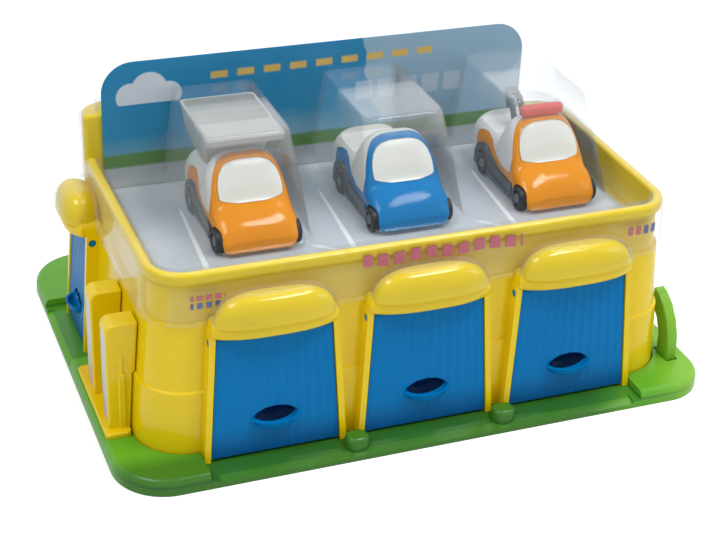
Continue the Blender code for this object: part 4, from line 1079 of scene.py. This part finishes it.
def buildUpper(name, tub):
    upper = hull(-0.0001, name)
    clear = 2 * gap
    front = [(-0.06, -0.01), (stripTop[0][0] + clear, -0.01)]
    front += [(y + clear, z) for y, z in frameBack] + [(-0.06, 0.07)]
    cut(upper, prism(front, -0.05, 0.05, "x"))
    below = [(-0.06, -0.01), (0.0474, -0.01), (0.0474, 0.0118), (0.0495 + gap, 0.0118)]
    below += [(y + (gap if y > 0.049 else 0.0), z + gap) for y, z in stripTop[::-1]]
    below.append((-0.06, stripTop[0][1] + gap))
    for side in (-1, 1):
        cut(upper, sidePrism(below, side, 0.0182, 0.05))
    cut(upper, block((-0.0226, -0.06, -0.01), (0.0226, 0.0585, 0.0235)))
    cut(upper, block((-0.019, -0.02, 0.01), (0.019, 0.012, 0.044)))
    if tub:
        rows = []
        for inset, z in ((0.007, car.tubFloor), (0.0052, car.tubFloor + 0.0012), (0.0042, 0.042)):
            rows.append((z, -0.0262 + inset, 0.0262 - inset, 0.018 + inset, 0.0628 - inset))
        cut(upper, stack(rows, 0.006, 10))
    return upper


def buildScreen(name):
    screen = keep(hull(0.0005, name), shellZone())
    keep(screen, prism(windowOutline(0.0), -0.06, car.screenBack, "y"))
    return cut(screen, hullCore(-0.0017))


def buildChassis(name):
    # Slate pan with side sills that arch over the rear wheels, and bores for both axles.
    pan = roundedBlock((-0.015, 0.015), (-0.033, 0.056), (0.004, 0.0104), 0.005, 0.0012, name=name)
    join(pan, block((-0.028, -0.011, 0.0034), (0.028, 0.02, 0.0066)))
    join(pan, block((-0.0275, 0.0436, 0.004), (0.0275, 0.0462, 0.009)))
    sill = [(-0.0135, 0.0034), (0.0468, 0.0036)] + curve(panelTop)
    groove = [(-0.011, 0.0062), (-0.0095, 0.0048), (0.0205, 0.0058), (0.021, 0.0108), (-0.0085, 0.0095)]
    for side in (-1, 1):
        join(pan, sidePrism(sill, side, 0.0228, 0.0282))
        cut(pan, sidePrism(groove, side, 0.0272, 0.03))
    for tool in wheelArches():
        cut(pan, tool)
    for y in car.axleY:
        cut(pan, move(rod(car.boreR, 0.024, 16), at(0, y, car.tyreR)))
    return pan


def bedRows(s, floor):
    # s is how much smaller the form is on all sides
    spec = (
        (floor, 0.0195, 0.0235, 0.06), (0.052, 0.0235, 0.0225, 0.0645),
        (0.068, 0.0262, 0.0215, 0.0665),
    )
    return [(z, s - half, half - s, front + s, back - s) for z, half, front, back in spec]


def buildTipper():
    # Tipping bed, open on top, with a canopy over the cab.
    bed = stack(bedRows(0.0, 0.039), 0.0035, name="truckBed")
    canopy = []
    for inset, z in ((0.0004, 0.0632), (0.0, 0.0642), (0.0, 0.0672), (0.001, 0.068)):
        canopy.append((z, -0.0268 + inset, 0.0268 - inset, -0.0024 + inset, 0.03))
    join(bed, stack(canopy, 0.003))
    room = bedRows(0.0018, 0.0412)
    room.append((0.08, *room[-1][1:]))
    return roundEdges(cut(bed, stack(room, 0.0035)), 0.0004, 2, 40)


def buildCrane():
    # Tow crane: a foot on the tub floor, a leaning mast and a slotted arm with a hook.
    foot = car.tubFloor + gap
    mast = [(0.027, foot), (0.04, foot), (0.038, car.tubFloor + 0.0022), (0.045, 0.045)]
    mast += [(0.054, 0.0505), (0.054, 0.055), (0.042, 0.0515), (0.032, 0.036)]
    hook = [(0.0505, 0.0525), (0.0555, 0.0545), (0.0575, 0.044), (0.0545, 0.039)]
    hook += [(0.0495, 0.0395), (0.049, 0.0425), (0.053, 0.0425), (0.054, 0.045)]
    crane = join(prism(mast, -0.0045, 0.0045, "x", "towCrane"), prism(hook, -0.0016, 0.0016, "x"))
    cut(crane, block((-0.0026, 0.03, 0.0385), (0.0026, 0.052, 0.053)))
    return roundEdges(crane, 0.0003, 2, 40)


def buildWheel(name, side, y):
    # Dished tyre with round shoulders, and a hub cap with a raised ring, both facing away from the car.
    half, r = car.tyreHalf, car.tyreR
    profile = [(0.0014, half - 0.0022), (0.0014, -half), (r - 0.0008, -half), (r, -half + 0.0008)]
    profile += arc(r - 0.0018, half - 0.0018, 0.0018, 0, 90, 6)
    profile += [(r - 0.0026, half), (r - 0.0031, half - 0.0004), (r - 0.0036, half - 0.0016)]
    profile += [(r - 0.0046, half - 0.0019)]
    hub = [(0.0001, half - 0.0021), (0.0034, half - 0.0021), (0.0034, half - 0.0009), (0.0031, half - 0.0005)]
    hub += [(0.0022, half - 0.0005), (0.0019, half - 0.0009), (0.0009, half - 0.0009)]
    hub.append((0.0001, half - 0.0006))
    place = at(side * car.track, y, r)
    if side < 0:
        place = place @ Matrix.Rotation(math.pi, 4, "Z")
    return move(turned(profile, 48, name), place), move(turned(hub, 36, name + "Hub"), place)


def buildCars():
    ground = tray.deckTop + gap + card.thick + gap
    for kind, look, upperLook, x in cars:
        place = at(x, 0, ground)
        parts = [
            (buildShell(kind + "Shell"), kind + "_shell", look, 42),
            (buildUpper(kind + "Upper", kind != "truck"), kind + "_upper", upperLook, 42),
            (buildScreen(kind + "Screen"), kind + "_screen", "cream", 42),
            (buildChassis(kind + "Chassis"), kind + "_chassis", "slate", 32),
        ]
        if kind == "truck":
            parts.append((buildTipper(), "truck_bed", "grey", 34))
        if kind == "tow":
            bar = ((-0.016, 0.016), (0.001, 0.009), (0.056, 0.062), 0.0036, 0.0024)
            parts.append((roundedBlock(*bar, name="towLightBar"), "tow_light_bar", "red", 40))
            parts.append((buildCrane(), "tow_crane", "slate", 34))
        for made, node, finish, angle in parts:
            standFor(move(made, place), node, finish, angle)
        for end, y in zip(("front", "rear"), car.axleY):
            for side, word in ((-1, "left"), (1, "right")):
                tyre, cap = buildWheel(f"{kind}{end.title()}{word.title()}Wheel", side, y)
                standFor(move(tyre, place), f"{kind}_wheel_{end}_{word}", "tyre", 34)
                dress(move(cap, place), "hub", f"{kind}_{end}_wheels", 34)


for build in (buildBody, buildBase, buildClip, buildPumps, buildCards, buildCover, buildCars):
    build()
    print("made by", build.__name__)
for place in bays:
    buildDoor(*place[:4])
print("doors made")


def addStage():
    shape = bmesh.new()
    bmesh.ops.create_grid(shape, x_segments=1, y_segments=1, size=6.0)
    floor = fromShape("floor", shape)
    coat = newCoat("paleFloor")
    tone = coat.mix(coat.noise(3.0), (0.8, 0.8, 0.8), (0.84, 0.84, 0.84))
    body = coat.shader(tone, 0.7, **{"Specular IOR Level": 0.1})
    glow = coat.add("Emission", {}, {"Color": (1, 1, 1, 1), "Strength": 0.42})
    none = coat.add("Emission", {}, {"Color": (0, 0, 0, 1), "Strength": 0.0})
    both = coat.add("AddShader", {}, {0: body, 1: coat.blend(coat.ray("Camera"), none, glow)})
    # far from the toy the floor is as white as the background
    x, y, _ = coat.axes()
    away = (((x * x + y * y) ** 0.5 - 0.6) / 0.7).share()
    white = coat.add("Emission", {}, {"Color": (1, 1, 1, 1), "Strength": 1.0})
    seen = coat.ray("Camera").most(coat.ray("Glossy"))
    floor.data.materials.append(coat.finish(coat.blend(away * seen, both, white)))


# Place, size and power of each softbox
softboxes = {
    "softboxAbove": ((-0.8, -0.35, 1.45), (0.8, 0.45), 10),
    "softboxTop": ((0.5, -0.52, 1.47), (0.62, 0.28), 10),
    "softboxRight": ((1.5, -1.0, 0.9), (0.7, 0.9), 3.5),
    "softboxBack": ((0.5, 0.75, 1.6), (1.2, 0.35), 7),
}


def addLight():
    world = bpy.data.worlds.new("studio")
    bpy.context.scene.world = world
    coat = Surface(world, "World")
    room = coat.add("Background", {}, {0: (0.93, 0.96, 1.0, 1), 1: 0.5})
    white = coat.add("Background", {}, {0: (1, 1, 1, 1), 1: 1.0})
    seen = coat.ray("Camera").most(coat.ray("Glossy").most(coat.ray("Transmission")))
    coat.finish(coat.blend(seen, room, white))
    for name, (place, size, energy) in softboxes.items():
        lamp = bpy.data.lights.new(name, "AREA")
        lamp.shape = "RECTANGLE"
        lamp.size, lamp.size_y = size
        lamp.energy = energy
        made = newObject(name, lamp)
        made.location = place
        aim = Vector((0, 0, 0.08)) - Vector(place)
        made.rotation_euler = aim.to_track_quat("-Z", "Y").to_euler()


def addCamera():
    # Fitted to the photo: its size, the focal length and the optical centre in pixels.
    wide, tall = 727, 534
    focal, centreX, centreY = 1655.883, 363.584, 267.012
    eye = bpy.data.cameras.new("camera")
    eye.sensor_width = 36.0
    eye.lens = eye.sensor_width * focal / wide
    eye.shift_x = (wide / 2 - centreX) / wide
    eye.shift_y = (centreY - tall / 2) / wide
    made = newObject("camera", eye)
    right = Vector((0.93369215561762, -0.35578953947023945, 0.040407451561277036))
    down = Vector((-0.14230981280931404, -0.47225643542881746, -0.8698975665986455))
    ahead = Vector((0.3285831336455054, 0.8064661572562246, -0.49157447196134774))
    turn = Matrix((right, -down, -ahead)).transposed().to_4x4()
    made.matrix_world = at(-0.383705, -0.925722 + shiftY, 0.633513) @ turn
    bpy.context.scene.camera = made


addStage()
addLight()
addCamera()
bpy.context.scene.view_settings.view_transform = "Standard"
print("stage, light and camera set")
